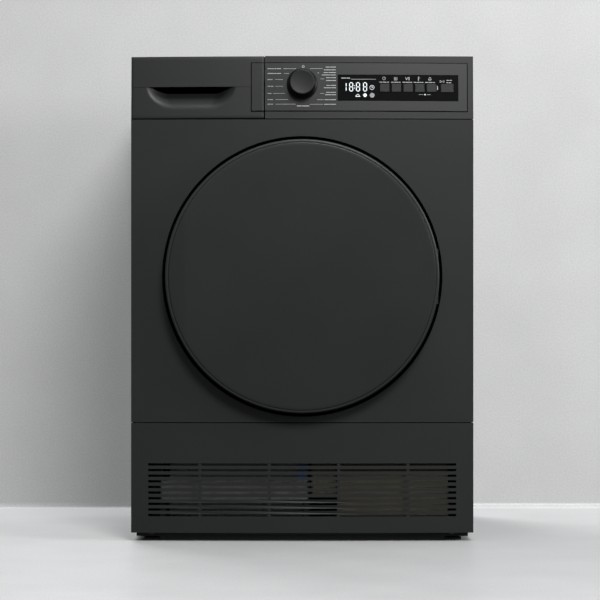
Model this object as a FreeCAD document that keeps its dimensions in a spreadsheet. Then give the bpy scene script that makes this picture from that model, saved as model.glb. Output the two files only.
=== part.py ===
"""Front-loading heat pump tumble dryer, free standing, drawn as an assembly of separate pieces.

Frame: millimetres, +Z up, the door faces -Y, and +X is to the right for someone who stands in front of it.
The origin is on the floor, in the middle of the overall box. Every driving size is a cell of the sheet "Sizes".
"""

import FreeCAD, Part
import math
import os

import Sketcher

V = FreeCAD.Vector
doc = FreeCAD.newDocument("tumble_dryer")

# ---------------------------------------------------------------- driving sizes

SIZES = [
    # overall
    ("wide", 596, "overall width, which is the width of the front skins"),
    ("tall", 845, "overall height, feet screwed in"),
    ("deep", 609, "overall depth, from the door's face to the rear duct cover"),
    ("door_proud", 32, "door face in front of the front skin's middle"),
    ("duct_proud", 20, "rear duct cover behind the rear panel"),
    ("bow", 8, "how far the middle of the front skins bulges in front of their ends"),
    ("steel", 0.8, "sheet steel of the cabinet"),
    ("seam", 1.5, "open joint between neighbouring skins"),
    ("return_deep", 19.5, "depth of the front skins' side returns"),
    ("flange", 7, "width of the side panels' folded edges"),
    # heights of the front skins
    ("kick_foot", 15, "lower edge of the kick plate"),
    ("kick_head", 206, "upper edge of the kick plate"),
    ("fascia_foot", 735.5, "lower edge of the control fascia and of the drawer front"),
    ("slope", 5, "lean of the fascia, in degrees"),
    # door and loading opening
    ("door_z", 461, "height of the drum and door axis"),
    ("door_r", 237, "radius of the door"),
    ("recess_r", 244, "radius of the pressed recess around the door"),
    ("recess_floor", 12.5, "depth of the recess behind the skin's middle"),
    ("opening_r", 203, "radius of the hole in the front panel"),
    ("throat_r", 195, "radius of the loading throat"),
    ("bezel_w", 5, "width of the door's bezel around its front disc"),
    ("door_gap", 3, "gap between the closed door and the recess floor"),
    ("door_wall", 3, "wall of the door's plastic frame"),
    ("plug_deep", 38, "depth of the door's inner bowl behind the door"),
    ("plug_gap", 10, "radial gap between the bowl and the throat"),
    ("crease_x", 202, "distance of the grip crease from the door's middle"),
    ("crease_fall", 1.6, "how far the grip facet falls back at the door's edge"),
    ("hinge_x", 225, "hinge axis, to the right of the middle"),
    ("hinge_in", 20, "hinge axis behind the door's face"),
    ("hinge_span", 80, "distance between the two hinge lugs"),
    ("lug_high", 8, "height of a hinge lug"),
    ("lug_r", 4.5, "half the width of a hinge lug"),
    ("pin_r", 2, "radius of the door's hinge pins"),
    ("fit", 0.05, "radial clearance of a running fit"),
    ("air", 0.3, "clearance between surfaces that slide past each other"),
    # drum
    ("drum_r", 280, "outer radius of the drum"),
    ("drum_long", 429, "length of the drum"),
    ("drum_mouth_r", 222, "radius of the drum's front opening"),
    ("drum_back", 236, "rear end of the drum, from the middle of the overall box"),
    ("lifter_high", 60, "height of a lifter above the drum wall"),
    ("lifter_wide", 70, "width of a lifter at its foot"),
    ("drum_wall", 1, "sheet of the drum"),
    ("roller_r", 35, "radius of the drum's support rollers"),
    ("roller_x", 167, "roller axes, from the middle"),
    ("roller_y", -148, "middle of the rollers"),
    ("roller_w", 20, "width of a roller"),
    ("stud_r", 5, "radius of the rollers' studs"),
    ("shaft_r", 10, "radius of the drum's stub shaft"),
    ("slot_inner", 70, "inner radius of the air slots in the drum's rear plate"),
    ("slot_outer", 150, "outer radius of the air slots in the drum's rear plate"),
    ("slot_w", 8, "width of one air slot"),
    # drive
    ("motor_x", 190, "motor axis, to the right of the middle"),
    ("motor_z", 88, "height of the motor axis"),
    ("motor_r", 48, "radius of the motor's housing"),
    ("pulley_r", 9, "radius of the motor's belt pulley"),
    ("belt_y", -30, "middle of the belt's plane"),
    ("belt_w", 9, "width of the belt"),
    ("belt_thick", 2, "thickness of the belt"),
    ("idler_x", 100, "idler pulley axis"),
    ("idler_z", 112, "height of the idler pulley axis"),
    ("idler_r", 14, "radius of the idler pulley"),
    ("pivot_x", 45, "pivot of the idler arm"),
    ("pivot_z", 110, "height of the idler arm's pivot"),
    ("pivot_r", 4, "radius of the idler's pivot and axle"),
    ("motor_front", -18, "front end of the motor"),
    ("motor_long", 124, "length of the motor"),
    ("rotor_r", 6, "radius of the motor's shaft"),
    ("impeller_r", 55, "radius of the process fan"),
    # heat pump
    ("cover_top", 158, "top of the heat pump cover"),
    ("plastic", 2.5, "wall of the plastic mouldings"),
    ("compressor_x", 222, "axis of the lying compressor"),
    ("compressor_z", 84, "height of the compressor axis"),
    ("compressor_r", 54, "radius of the compressor shell"),
    ("pump_left", -250, "left side of the heat pump cover"),
    ("pump_right", 12, "right side of the heat pump cover, beside the evaporator"),
    ("pump_front", -222, "front of the heat pump cover"),
    ("lever_z", 123, "height of the locking levers"),
    ("lever_left_x", -238, "left locking lever"),
    ("lever_right_x", 0, "right locking lever"),
    ("pipe_r", 4, "radius of the refrigerant pipes"),
    ("hose_r", 6, "radius of the drain pipe"),
    # base, feet, kick plate
    ("base_foot", 7, "underside of the base tray"),
    ("base_half", 290, "half the width of the base tray"),
    ("base_front", -240, "front edge of the base tray"),
    ("base_back", 280, "rear edge of the base tray"),
    ("foot_x", 264, "feet, from the middle"),
    ("foot_front", -222, "front feet"),
    ("foot_rear", 250, "rear feet"),
    ("foot_r", 15, "radius of a foot's pad"),
    ("foot_stem_r", 5, "radius of a foot's threaded stem"),
    ("grille_half", 268, "half the width of the air grille"),
    ("grille_foot", 43.5, "lower edge of the lowest air slot"),
    ("slot_pitch", 9.8, "distance between air slots"),
    ("slot_high", 4.2, "height of an air slot"),
    ("rib_first", -178, "leftmost upright rib of the grille"),
    ("rib_pitch", 120.7, "distance between the grille's upright ribs"),
    ("kick_wall", 2.2, "wall of the kick plate"),
    ("kick_pin_x", 264, "inner end of the kick plate's hinge pins"),
    ("kick_pin_r", 3, "radius of the kick plate's hinge pins"),
    ("kick_axis_y", -257, "kick plate hinge axis"),
    ("kick_axis_z", 19, "height of the kick plate hinge axis"),
    # console
    ("split_x", -64.7, "joint between the tank drawer and the control fascia"),
    ("console_left", -88, "left end of the raised console"),
    ("console_right", 287, "right end of the raised console"),
    ("console_foot", 13.8, "lower edge of the console, measured up the slope"),
    ("console_head", 97.4, "upper edge of the console, measured up the slope"),
    ("console_proud", 1.2, "console in front of the fascia"),
    ("film", 0.03, "glue film between the console and the fascia"),
    ("window_left", 61.5, "left end of the display window"),
    ("window_right", 272, "right end of the display window"),
    ("window_foot", 30.9, "lower edge of the display window"),
    ("window_head", 77.2, "upper edge of the display window"),
    ("key_foot", 47.1, "lower edge of the keys"),
    ("key_high", 14.1, "height of the keys"),
    ("key_wide", 15.7, "width of an option key"),
    ("key_pitch", 20.4, "distance between option keys"),
    ("key_first", 143.6, "middle of the first option key"),
    ("start_key_x", 252.5, "middle of the start key"),
    ("start_key_wide", 21.5, "width of the start key"),
    ("key_proud", 1.5, "keys in front of the window"),
    ("board_y", 17, "front of the control board behind the fascia's skin"),
    ("key_gap", 1.4, "gap between a key and its switch"),
    ("knob_u", 60.5, "height of the knob axis, measured up the slope"),
    ("knob_r", 23, "radius of the knob's cap"),
    ("knob_skirt_r", 27, "radius of the knob's skirt"),
    ("knob_long", 24, "length of the knob in front of the console"),
    ("crease_u", 56.1, "height of the drawer front's crease, measured up the slope"),
    ("grip_x", -193.5, "middle of the drawer's finger grip"),
    ("grip_half", 77, "half the width of the finger grip"),
    ("grip_deep", 22, "depth of the finger grip"),
    ("grip_high", 40, "height of the finger grip"),
    # water tank
    ("tray_foot", 746, "underside of the tank tray"),
    ("tank_left", -287, "left side of the water tank"),
    ("tank_right", -74, "right side of the water tank"),
    ("tank_top", 798, "top of the water tank"),
    ("tank_back", 200, "rear end of the water tank"),
    ("tank_hole_y", 150, "middle of the tank's filling hole"),
    ("tank_hole_r", 20, "radius of the tank's filling hole"),
    # lint filter
    ("filter_half", 110, "half the width of the lint filter"),
    ("filter_front", -221, "front of the lint filter"),
    ("filter_thick", 17, "thickness of the lint filter"),
    ("filter_foot", 170, "lower edge of the lint filter"),
    ("filter_head", 264, "upper edge of the lint filter"),
]

sheet = doc.addObject("Spreadsheet::Sheet", "Sizes")
for row, (alias, value, note) in enumerate(SIZES, start=1):
    sheet.set(f"A{row}", alias)
    sheet.set(f"B{row}", str(value))
    sheet.set(f"C{row}", note)
    sheet.setAlias(f"B{row}", alias)
doc.recompute()
ALIASES = {alias for alias, _, _ in SIZES}


def formula(text):
    """An expression on the sheet's aliases, with the sheet's name put before each alias."""
    words, word = [], ""
    for letter in str(text) + " ":
        if letter.isalnum() or letter in "_.":
            word += letter
        else:
            words.append(f"Sizes.{word}" if word in ALIASES else word)
            words.append(letter)
            word = ""
    return "".join(words).strip()


def number(text):
    """The value of an expression on the sheet."""
    found = sheet.evalExpression(formula(text))
    return float(getattr(found, "Value", found))


# Places that follow from the driving sizes.
FRONT = "(door_proud - deep/2)"
BACK = "(deep/2 - duct_proud)"
FACE = "(-deep/2)"
SKIN_BACK = f"({FRONT} + bow + return_deep)"
SIDE_FRONT = f"({SKIN_BACK} + seam)"
RECESS_Y = f"({FRONT} + recess_floor)"
DOOR_BACK = f"({RECESS_Y} - door_gap)"
BOW_R = "(((wide/2)^2 + bow^2)/(2*bow))"
HINGE_Y = f"({FACE} + hinge_in)"
DRUM_FRONT = "(drum_back - drum_long)"
PANEL_FOOT = "(kick_head + seam)"
PANEL_HEAD = "(fascia_foot - seam)"
WORKTOP_FOOT = "(tall - 22)"
SIDE_HEAD = "(tall - 25)"
SIDE_X = "(wide/2 - 1.5)"
PLUG_R = "(throat_r - plug_gap)"
ROLLER_Z = "(door_z - sqrt((drum_r + roller_r + air)^2 - roller_x^2))"
COLLAR_R = "(drum_mouth_r - 8)"
TRAY_TOP = "(base_foot + 3)"
TANK_FOOT = "(tray_foot + plastic + 1)"


# ---------------------------------------------------------------- drawing helpers

PLANES = {"XY": ("XY_Plane", 1), "XZ": ("XZ_Plane", -1), "YZ": ("YZ_Plane", 1)}
made = 0


def fresh(stem):
    """A document-wide unique internal name."""
    global made
    made += 1
    return f"{stem}_{made}"


def bind(obj, **cells):
    """Binds properties to expressions; a double underscore in a name stands for a dot."""
    for key, text in cells.items():
        obj.setExpression(key.replace("__", "."), formula(text))
    return obj


def tilt(obj):
    """Puts a piece drawn in the fascia's own frame where the leaning fascia is."""
    obj.Placement = FreeCAD.Placement(V(0, 0, 0), FreeCAD.Rotation(V(1, 0, 0), -number("slope")))
    bind(obj, Placement__Base__y=FRONT, Placement__Base__z="fascia_foot")
    return bind(obj, Placement__Rotation__Angle="-slope")


def span(side, near, far):
    """The two ends of a stretch that is drawn on the right and mirrored for the left side."""
    return (near, far) if side > 0 else (f"-({far})", f"-({near})")


def point(item):
    return V(number(item[0]), number(item[1]), 0)


def draw_loop(sketch, loop):
    """A closed outline. A vertex is (x, y), or (x, y, radius) where an arc of that radius, bulging to the
    right of the way drawn, leads to the next vertex; a negative radius text bulges to the left."""
    first = sketch.GeometryCount
    count = len(loop)
    ends = []
    for i, item in enumerate(loop):
        start, end = point(item), point(loop[(i + 1) % count])
        ends.append((1, 2))
        if len(item) == 2:
            sketch.addGeometry(Part.LineSegment(start, end))
            continue
        radius = number(item[2])
        if radius < 0:
            # Sketcher keeps every arc anticlockwise, so this one is drawn from its far end
            start, end = end, start
            ends[-1] = (2, 1)
        half = (end - start) * 0.5
        side = V(half.y, -half.x, 0).normalize()
        rise = abs(radius) - math.sqrt(radius * radius - half.Length**2)
        sketch.addGeometry(Part.Arc(start, start + half + side * rise, end))
    for i in range(count):
        j = (i + 1) % count
        sketch.addConstraint(
            Sketcher.Constraint("Coincident", first + i, ends[i][1], first + j, ends[j][0])
        )
    for i, item in enumerate(loop):
        spot = point(item)
        for kind, text, value in (("DistanceX", item[0], spot.x), ("DistanceY", item[1], spot.y)):
            add_datum(sketch, (kind, -1, 1, first + i, ends[i][0], value), text)
        if len(item) == 3:
            radius = number(item[2])
            sign = "" if radius > 0 else "-"
            add_datum(sketch, ("Radius", first + i, abs(radius)), f"{sign}({item[2]})")


def add_datum(sketch, constraint, text):
    index = sketch.addConstraint(Sketcher.Constraint(*constraint))
    sketch.renameConstraint(index, f"size{index}")
    sketch.setExpression(f"Constraints.size{index}", formula(text))


def draw_circle(sketch, x, y, radius):
    centre = V(number(x), number(y), 0)
    geo = sketch.addGeometry(Part.Circle(centre, V(0, 0, 1), number(radius)))
    add_datum(sketch, ("DistanceX", -1, 1, geo, 3, centre.x), x)
    add_datum(sketch, ("DistanceY", -1, 1, geo, 3, centre.y), y)
    add_datum(sketch, ("Radius", geo, number(radius)), radius)


def rectangle(x0, y0, x1, y1):
    return [(x0, y0), (x1, y0), (x1, y1), (x0, y1)]


def new_body(label="blank"):
    body = doc.addObject("PartDesign::Body", fresh("body"))
    body.Label = fresh(label) if label == "blank" else label
    return body


def new_sketch(body, plane, at, loops):
    """A sketch on one of the body's own planes, moved along its normal to the coordinate at."""
    role, sign = PLANES[plane]
    base = [f for f in body.Origin.OriginFeatures if f.Role == role][0]
    sketch = body.newObject("Sketcher::SketchObject", fresh("sketch"))
    sketch.AttachmentSupport = [(base, "")]
    sketch.MapMode = "FlatFace"
    bind(sketch, AttachmentOffset__Base__z=at if sign > 0 else f"-({at})")
    for loop in loops:
        if loop[0] == "circle":
            draw_circle(sketch, *loop[1:])
        else:
            draw_loop(sketch, loop)
    return sketch


def pad(body, plane, at, length, *loops):
    """Adds the outlines' prism, from the coordinate at, towards the axis's positive end."""
    feature = body.newObject("PartDesign::Pad", fresh("pad"))
    feature.Profile = new_sketch(body, plane, at, loops)
    bind(feature, Length=length)
    feature.Reversed = PLANES[plane][1] < 0
    doc.recompute()
    return body


def pocket(body, plane, at, length, *loops):
    """Removes the outlines' prism, from the coordinate at, towards the axis's positive end."""
    before = body.Shape.Volume
    feature = body.newObject("PartDesign::Pocket", fresh("pocket"))
    feature.Profile = new_sketch(body, plane, at, loops)
    bind(feature, Length=length)
    feature.Reversed = PLANES[plane][1] > 0
    doc.recompute()
    if body.Shape.Volume > before - 1e-3:
        raise RuntimeError(f"a pocket of {body.Label} cut nothing")
    return body


def turned(label, outline, x="0", z="0"):
    """A solid turned about an axis along Y through (x, z); the outline's vertices are (y, radius)."""
    body = new_body(label)
    sketch = new_sketch(body, "YZ", "0", [outline])
    feature = body.newObject("PartDesign::Revolution", fresh("turn"))
    feature.Profile = sketch
    feature.ReferenceAxis = (sketch, ["H_Axis"])
    feature.Angle = 360
    bind(body, Placement__Base__x=x, Placement__Base__z=z)
    doc.recompute()
    return body


def turned_up(label, outline, x, y):
    """A solid turned about a vertical axis through (x, y); the outline's vertices are (radius, z)."""
    body = new_body(label)
    sketch = new_sketch(body, "XZ", "0", [outline])
    feature = body.newObject("PartDesign::Revolution", fresh("turn"))
    feature.Profile = sketch
    feature.ReferenceAxis = (sketch, ["V_Axis"])
    feature.Angle = 360
    bind(body, Placement__Base__x=x, Placement__Base__y=y)
    doc.recompute()
    return body


def prism(plane, at, length, *loops, label="blank"):
    return pad(new_body(label), plane, at, length, *loops)


def box(x0, x1, y0, y1, z0, z1):
    """A block between six coordinates."""
    block = doc.addObject("Part::Box", fresh("block"))
    bind(block, Length=f"({x1}) - ({x0})", Width=f"({y1}) - ({y0})", Height=f"({z1}) - ({z0})")
    bind(block, Placement__Base__x=x0, Placement__Base__y=y0, Placement__Base__z=z0)
    return block


def rod(axis, a, b, start, end, radius):
    """A round bar along X, Y or Z; a and b are its axis's other two coordinates, in X, Y, Z order."""
    bar = doc.addObject("Part::Cylinder", fresh("bar"))
    bind(bar, Radius=radius, Height=f"({end}) - ({start})")
    spots = {"X": (start, a, b), "Y": (a, start, b), "Z": (a, b, start)}[axis]
    turn = {"X": (V(0, 1, 0), 90), "Y": (V(1, 0, 0), -90), "Z": (V(0, 0, 1), 0)}[axis]
    bar.Placement = FreeCAD.Placement(V(), FreeCAD.Rotation(*turn))
    bind(bar, Placement__Base__x=spots[0], Placement__Base__y=spots[1], Placement__Base__z=spots[2])
    return bar


def fuse(*parts, label=None):
    whole = doc.addObject("Part::MultiFuse", fresh("union"))
    whole.Shapes = list(parts)
    whole.Label = label or whole.Name
    doc.recompute()
    return whole


def common(a, b, label=None):
    whole = doc.addObject("Part::MultiCommon", fresh("overlap"))
    whole.Shapes = [a, b]
    whole.Label = label or whole.Name
    doc.recompute()
    return whole


def cut(base, *tools, label=None):
    whole = doc.addObject("Part::Cut", fresh("cut"))
    whole.Base = base
    whole.Tool = tools[0] if len(tools) == 1 else fuse(*tools)
    whole.Label = label or whole.Name
    doc.recompute()
    if whole.Shape.Volume > base.Shape.Volume - 1e-3:
        raise RuntimeError(f"a cut for {whole.Label} removed nothing")
    return whole


def group(label, parts):
    whole = doc.addObject("Part::Compound", fresh("group"))
    whole.Links = list(parts)
    whole.Label = label
    doc.recompute()
    return whole


def free_shape(label, shape):
    """A shape worked out with Part's own functions, for a piece that no sketch or primitive suits."""
    piece = doc.addObject("Part::Feature", fresh("shape"))
    piece.Shape = shape
    piece.Label = label
    return piece


def skin_y(x, inset="0", front=FRONT):
    """Y of the bowed front surface at x, or of the surface inset behind it."""
    return f"({front} + {BOW_R} - sqrt(({BOW_R} - ({inset}))^2 - ({x})^2))"


def bowed_slab(x0, x1, inset, back, front=FRONT):
    """Plan outline between the bowed surface at the inset and the plane y = back."""
    radius = f"({BOW_R} - ({inset}))"
    return [
        (x0, skin_y(x0, inset, front), radius),
        (x1, skin_y(x1, inset, front)),
        (x1, back),
        (x0, back),
    ]


def bowed_sheet(x0, x1, inset, thick, front=FRONT):
    """Plan outline of a sheet that follows the bowed surface, from the inset, thick deep."""
    inner = f"(({inset}) + ({thick}))"
    return [
        (x0, skin_y(x0, inset, front), f"({BOW_R} - ({inset}))"),
        (x1, skin_y(x1, inset, front)),
        (x1, skin_y(x1, inner, front), f"-({BOW_R} - {inner})"),
        (x0, skin_y(x0, inner, front)),
    ]


def bowed_shell(half, thick, back):
    """Plan outline of a bowed skin with a return along each side."""
    left, right = f"(-({half}))", f"({half})"
    left_in, right_in = f"({left} + {thick})", f"({right} - {thick})"
    return [
        (left, back),
        (left, skin_y(left), BOW_R),
        (right, skin_y(right)),
        (right, back),
        (right_in, back),
        (right_in, skin_y(right_in, thick), f"-({BOW_R} - {thick})"),
        (left_in, skin_y(left_in, thick)),
        (left_in, back),
    ]


def rounded_path(points, radius):
    """Straight runs joined by tangent arcs: the path of a pipe or hose."""
    edges, here = [], points[0]
    for before, corner, after in zip(points, points[1:], points[2:]):
        into, out = (corner - before).normalize(), (after - corner).normalize()
        turn = into.getAngle(out)
        back_off = radius * math.tan(turn / 2)
        start, end = corner - into * back_off, corner + out * back_off
        middle_way = (out - into).normalize()
        middle = corner + middle_way * (radius / math.cos(turn / 2) - radius)
        edges += [Part.makeLine(here, start), Part.Arc(start, middle, end).toShape()]
        here = end
    edges.append(Part.makeLine(here, points[-1]))
    return Part.Wire(edges)


def pipe(points, radius, bend):
    """A solid round pipe along the points, given as triples of expressions."""
    path = rounded_path([V(*(number(c) for c in p)) for p in points], bend)
    start, way = path.Edges[0].Vertexes[0].Point, path.Edges[0].tangentAt(path.Edges[0].FirstParameter)
    section = Part.Wire(Part.makeCircle(radius, start, way))
    solid = path.makePipeShell([section], True, False)
    expected = math.pi * radius**2 * path.Length
    if abs(solid.Volume - expected) > 0.01 * expected:
        raise RuntimeError("a pipe's volume isn't its section times its length")
    return solid


def polar(body, count):
    """Repeats the body's last feature round the body's own Y axis."""
    axis = [f for f in body.Origin.OriginFeatures if f.Role == "Y_Axis"][0]
    pattern = body.newObject("PartDesign::PolarPattern", fresh("pattern"))
    pattern.Originals = [body.Tip]
    pattern.Axis = (axis, [""])
    pattern.Angle = 360
    pattern.Occurrences = count
    body.Tip = pattern
    doc.recompute()
    return body


def about_y(obj, angle, x="0", z="0"):
    """Turns a piece drawn about the origin round Y, and puts its axis at (x, z)."""
    obj.Placement = FreeCAD.Placement(V(), FreeCAD.Rotation(V(0, 1, 0), angle))
    return bind(obj, Placement__Base__x=x, Placement__Base__z=z)


def leaned(obj, label=None):
    """The same solid, drawn in the fascia's frame, put where the leaning fascia is."""
    if obj.TypeId == "Part::MultiFuse":
        moved = fuse(obj, label=label)
    else:
        moved = group(label or fresh("lean"), [obj])
    return tilt(moved)


# ---------------------------------------------------------------- cabinet skins

for side, label in ((-1, "left_side_panel"), (1, "right_side_panel")):
    outer, inner, lip = (f"({side}*({x}))" for x in (SIDE_X, f"{SIDE_X} - steel", f"{SIDE_X} - flange"))
    rear = f"({BACK} - steel)"
    outline = [
        (lip, SIDE_FRONT),
        (outer, SIDE_FRONT),
        (outer, rear),
        (lip, rear),
        (lip, f"{rear} - steel"),
        (inner, f"{rear} - steel"),
        (inner, f"{SIDE_FRONT} + steel"),
        (lip, f"{SIDE_FRONT} + steel"),
    ]
    prism("XY", "kick_foot", f"{SIDE_HEAD} - kick_foot", outline, label=label)

# Front panel: bowed skin, top and bottom lips, pressed round recess, latch hole.
skin = prism("XY", PANEL_FOOT, f"{PANEL_HEAD} - {PANEL_FOOT}", bowed_shell("wide/2", "steel", SKIN_BACK))
lips = [
    prism("XY", z, "steel", bowed_slab("steel - wide/2", "wide/2 - steel", "steel/2", f"{FRONT} + 22"))
    for z in (PANEL_FOOT, f"{PANEL_HEAD} - steel")
]
recess = turned(
    "blank",
    [
        (f"{FRONT} - 1", "recess_r"),
        (f"{FRONT} - 1", "recess_r + steel"),
        (f"{RECESS_Y} + steel", "recess_r + steel"),
        (f"{RECESS_Y} + steel", "opening_r"),
        (RECESS_Y, "opening_r"),
        (RECESS_Y, "recess_r"),
    ],
    z="door_z",
)
behind_skin = prism(
    "XY", PANEL_FOOT, f"{PANEL_HEAD} - {PANEL_FOOT}", bowed_slab("-wide/2", "wide/2", "steel/2", "0")
)
cut(
    fuse(
        cut(fuse(skin, *lips), rod("Y", "0", "door_z", f"{FRONT} - 1", RECESS_Y, "recess_r")),
        common(recess, behind_skin),
    ),
    box("-232", "-210", f"{RECESS_Y} - 1", f"{RECESS_Y} + 3", "door_z - 14", "door_z + 14"),
    label="front_panel",
)

turned(
    "opening_seal",
    [
        (f"{RECESS_Y} - 2.2", "opening_r - 3"),
        (f"{RECESS_Y} - 2.2", "opening_r + 3"),
        (RECESS_Y, "opening_r + 5"),
        (RECESS_Y, "opening_r"),
        (f"{RECESS_Y} + steel", "opening_r"),
        (f"{RECESS_Y} + steel", "opening_r - 4"),
    ],
    z="door_z",
)

# Rear panel with its louvres, the drain spigot and the cord gland.
louvres = [rectangle("-235", f"{z}", "-120", f"{z + 5}") for z in range(150, 262, 14)]
rear_sheet = prism(
    "XZ",
    f"{BACK} - steel",
    "steel",
    rectangle(f"-{SIDE_X}", "kick_foot", SIDE_X, SIDE_HEAD),
    ("circle", "0", "door_z", "slot_outer + 8"),
    ("circle", "motor_x", "motor_z", "45"),
    *louvres,
)
cut(
    fuse(
        rear_sheet,
        rod("Y", "-250", "110", f"{BACK} - 6", f"{BACK} + 10", "9"),
        rod("Y", "-230", "60", f"{BACK} - 6", f"{BACK} + duct_proud", "8"),
    ),
    rod("Y", "-250", "110", f"{BACK} - 7", f"{BACK} + 11", "4.2"),
    rod("Y", "-230", "60", f"{BACK} - 7", f"{BACK} + duct_proud + 1", "5.5"),
    label="rear_panel",
)
cut(
    fuse(
        rod("Y", "0", "door_z", BACK, f"{BACK} + duct_proud", "slot_outer + 50"),
        box("motor_x - 62", "motor_x + 62", BACK, f"{BACK} + duct_proud", "motor_z - 56", "door_z"),
    ),
    rod("Y", "0", "door_z", f"{BACK} - 1", f"{BACK} + duct_proud - 2", "slot_outer + 48"),
    box("motor_x - 60", "motor_x + 60", f"{BACK} - 1", f"{BACK} + duct_proud - 2", "motor_z - 54", "door_z"),
    label="rear_duct_cover",
)
group(
    "rear_screws",
    [
        rod("Y", f"{side}*({SIDE_X} - 15)", f"{z}", BACK, f"{BACK} + 2.2", "4")
        for side in (-1, 1)
        for z in (40, 220, 430, 640, 800)
    ],
)

prism(
    "XZ",
    SIDE_FRONT,
    f"{BACK} - {SIDE_FRONT}",
    [
        ("-wide/2", WORKTOP_FOOT),
        ("wide/2", WORKTOP_FOOT),
        ("wide/2", "tall - 2"),
        ("wide/2 - 2", "tall"),
        ("2 - wide/2", "tall"),
        ("-wide/2", "tall - 2"),
    ],
    label="worktop",
)


def top_rail(front, back, web):
    """Angle section between the side panels, under the worktop; web is the upright leg's front face."""
    flat = rectangle(front, f"{WORKTOP_FOOT} - 1.5", back, WORKTOP_FOOT)
    upright = rectangle(web, f"{WORKTOP_FOOT} - 20", f"{web} + 1.5", f"{WORKTOP_FOOT} - 1")
    start = f"steel - {SIDE_X}"
    return fuse(*(prism("YZ", start, f"2*({SIDE_X} - steel)", part) for part in (flat, upright)))


group(
    "top_rails",
    [
        top_rail(f"{SIDE_FRONT} + 3.5", f"{SIDE_FRONT} + 21.5", f"{SIDE_FRONT} + 3.5"),
        top_rail(f"{BACK} - 22", f"{BACK} - 4", f"{BACK} - 5.5"),
    ],
)

# ---------------------------------------------------------------- base tray and feet

FEET = {
    "foot_front_left": ("-foot_x", "foot_front"),
    "foot_front_right": ("foot_x", "foot_front"),
    "foot_rear_left": ("-foot_x", "foot_rear"),
    "foot_rear_right": ("foot_x", "foot_rear"),
}
for label, (x, y) in FEET.items():
    turned_up(
        label,
        [
            ("0", "0"),
            ("foot_r - 1", "0"),
            ("foot_r", "1"),
            ("foot_r", "4"),
            ("foot_stem_r + 4", "base_foot - 1"),
            ("foot_stem_r", "base_foot - 1"),
            ("foot_stem_r", "base_foot + 20"),
            ("0", "base_foot + 20"),
        ],
        x,
        y,
    )

tray_outer = box("-base_half", "base_half", "base_front", "base_back", "base_foot", "base_foot + 31")
tray_inner = box(
    "3 - base_half", "base_half - 3", "base_front + 3", "base_back - 3", TRAY_TOP, "base_foot + 32"
)
raised = [rod("Z", x, y, "base_foot + 1", "base_foot + 23", "foot_stem_r + 7") for x, y in FEET.values()]
raised += [
    box("motor_x - 32", "motor_x + 32", y0, y1, "base_foot + 1", "motor_z - motor_r + 14")
    for y0, y1 in (("motor_front + 12", "motor_front + 32"), ("motor_front + 86", "motor_front + 106"))
]
raised += [
    box(
        "compressor_x - 34",
        "compressor_x + 34",
        f"{y}",
        f"{y + 20}",
        "base_foot + 1",
        "compressor_z - compressor_r + 16",
    )
    for y in (-205, -125)
]
raised += [
    box("pivot_x - 8", "pivot_x + 8", "belt_y - 32", "belt_y - 18", "base_foot + 1", "pivot_z + 8"),
    rod("Y", "pivot_x", "pivot_z", "belt_y - 20", "belt_y - 7", "pivot_r"),
]
for x0, x1 in (("-(kick_pin_x + 9)", "-(kick_pin_x + 1)"), ("kick_pin_x + 1", "kick_pin_x + 9")):
    raised.append(box(x0, x1, "kick_axis_y", "base_front + 1", "kick_axis_z - 5.5", "kick_axis_z + 5.5"))
    raised.append(rod("X", "kick_axis_y", "kick_axis_z", x0, x1, "5.5"))
bored = [
    rod("Z", x, y, "base_foot - 1", "base_foot + 24", "foot_stem_r + fit") for x, y in FEET.values()
]
bored += [
    rod("Y", "motor_x", "motor_z", "motor_front", "motor_front + motor_long", "motor_r"),
    rod("Y", "compressor_x", "compressor_z", "-230", "-80", "compressor_r"),
    rod("X", "kick_axis_y", "kick_axis_z", "-(kick_pin_x + 10)", "kick_pin_x + 10", "kick_pin_r + fit"),
]
cut(fuse(cut(tray_outer, tray_inner), *raised), *bored, label="base_tray")

# ---------------------------------------------------------------- front bulkhead

THROAT_Y = f"({RECESS_Y} + steel)"
plate = prism(
    "XZ",
    THROAT_Y,
    "door_wall",
    rectangle("8 - wide/2", f"{PANEL_FOOT} + 4", "wide/2 - 8", f"{PANEL_HEAD} - 7"),
    ("circle", "0", "door_z", "throat_r"),
)
throat = turned(
    "blank",
    [
        (THROAT_Y, "throat_r"),
        (THROAT_Y, "throat_r + 3"),
        (f"{DRUM_FRONT} - 10", "throat_r + 3"),
        (f"{DRUM_FRONT} - 10", COLLAR_R),
        (f"{DRUM_FRONT} + 11", COLLAR_R),
        (f"{DRUM_FRONT} + 11", f"{COLLAR_R} - 3"),
        (f"{DRUM_FRONT} - 7", f"{COLLAR_R} - 3"),
        (f"{DRUM_FRONT} - 7", "throat_r"),
    ],
    z="door_z",
)
APRON = f"({SIDE_FRONT} + 3.5)"
FILTER_BACK = "(filter_front + filter_thick)"
solid = [
    plate,
    throat,
    box("-238", "-204", f"{THROAT_Y} + 1", f"{THROAT_Y} + 29", "door_z - 20", "door_z + 20"),
    box("13 - wide/2", "wide/2 - 13", f"{THROAT_Y} + 1", f"{APRON} + 4", "240", "244"),
    box("13 - wide/2", "wide/2 - 13", APRON, f"{APRON} + 4", "168", "244"),
    box("-(filter_half + 6)", "filter_half + 6", "filter_front - 4", f"{FILTER_BACK} + 4", "cover_top", "door_z - 156"),
]
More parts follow.
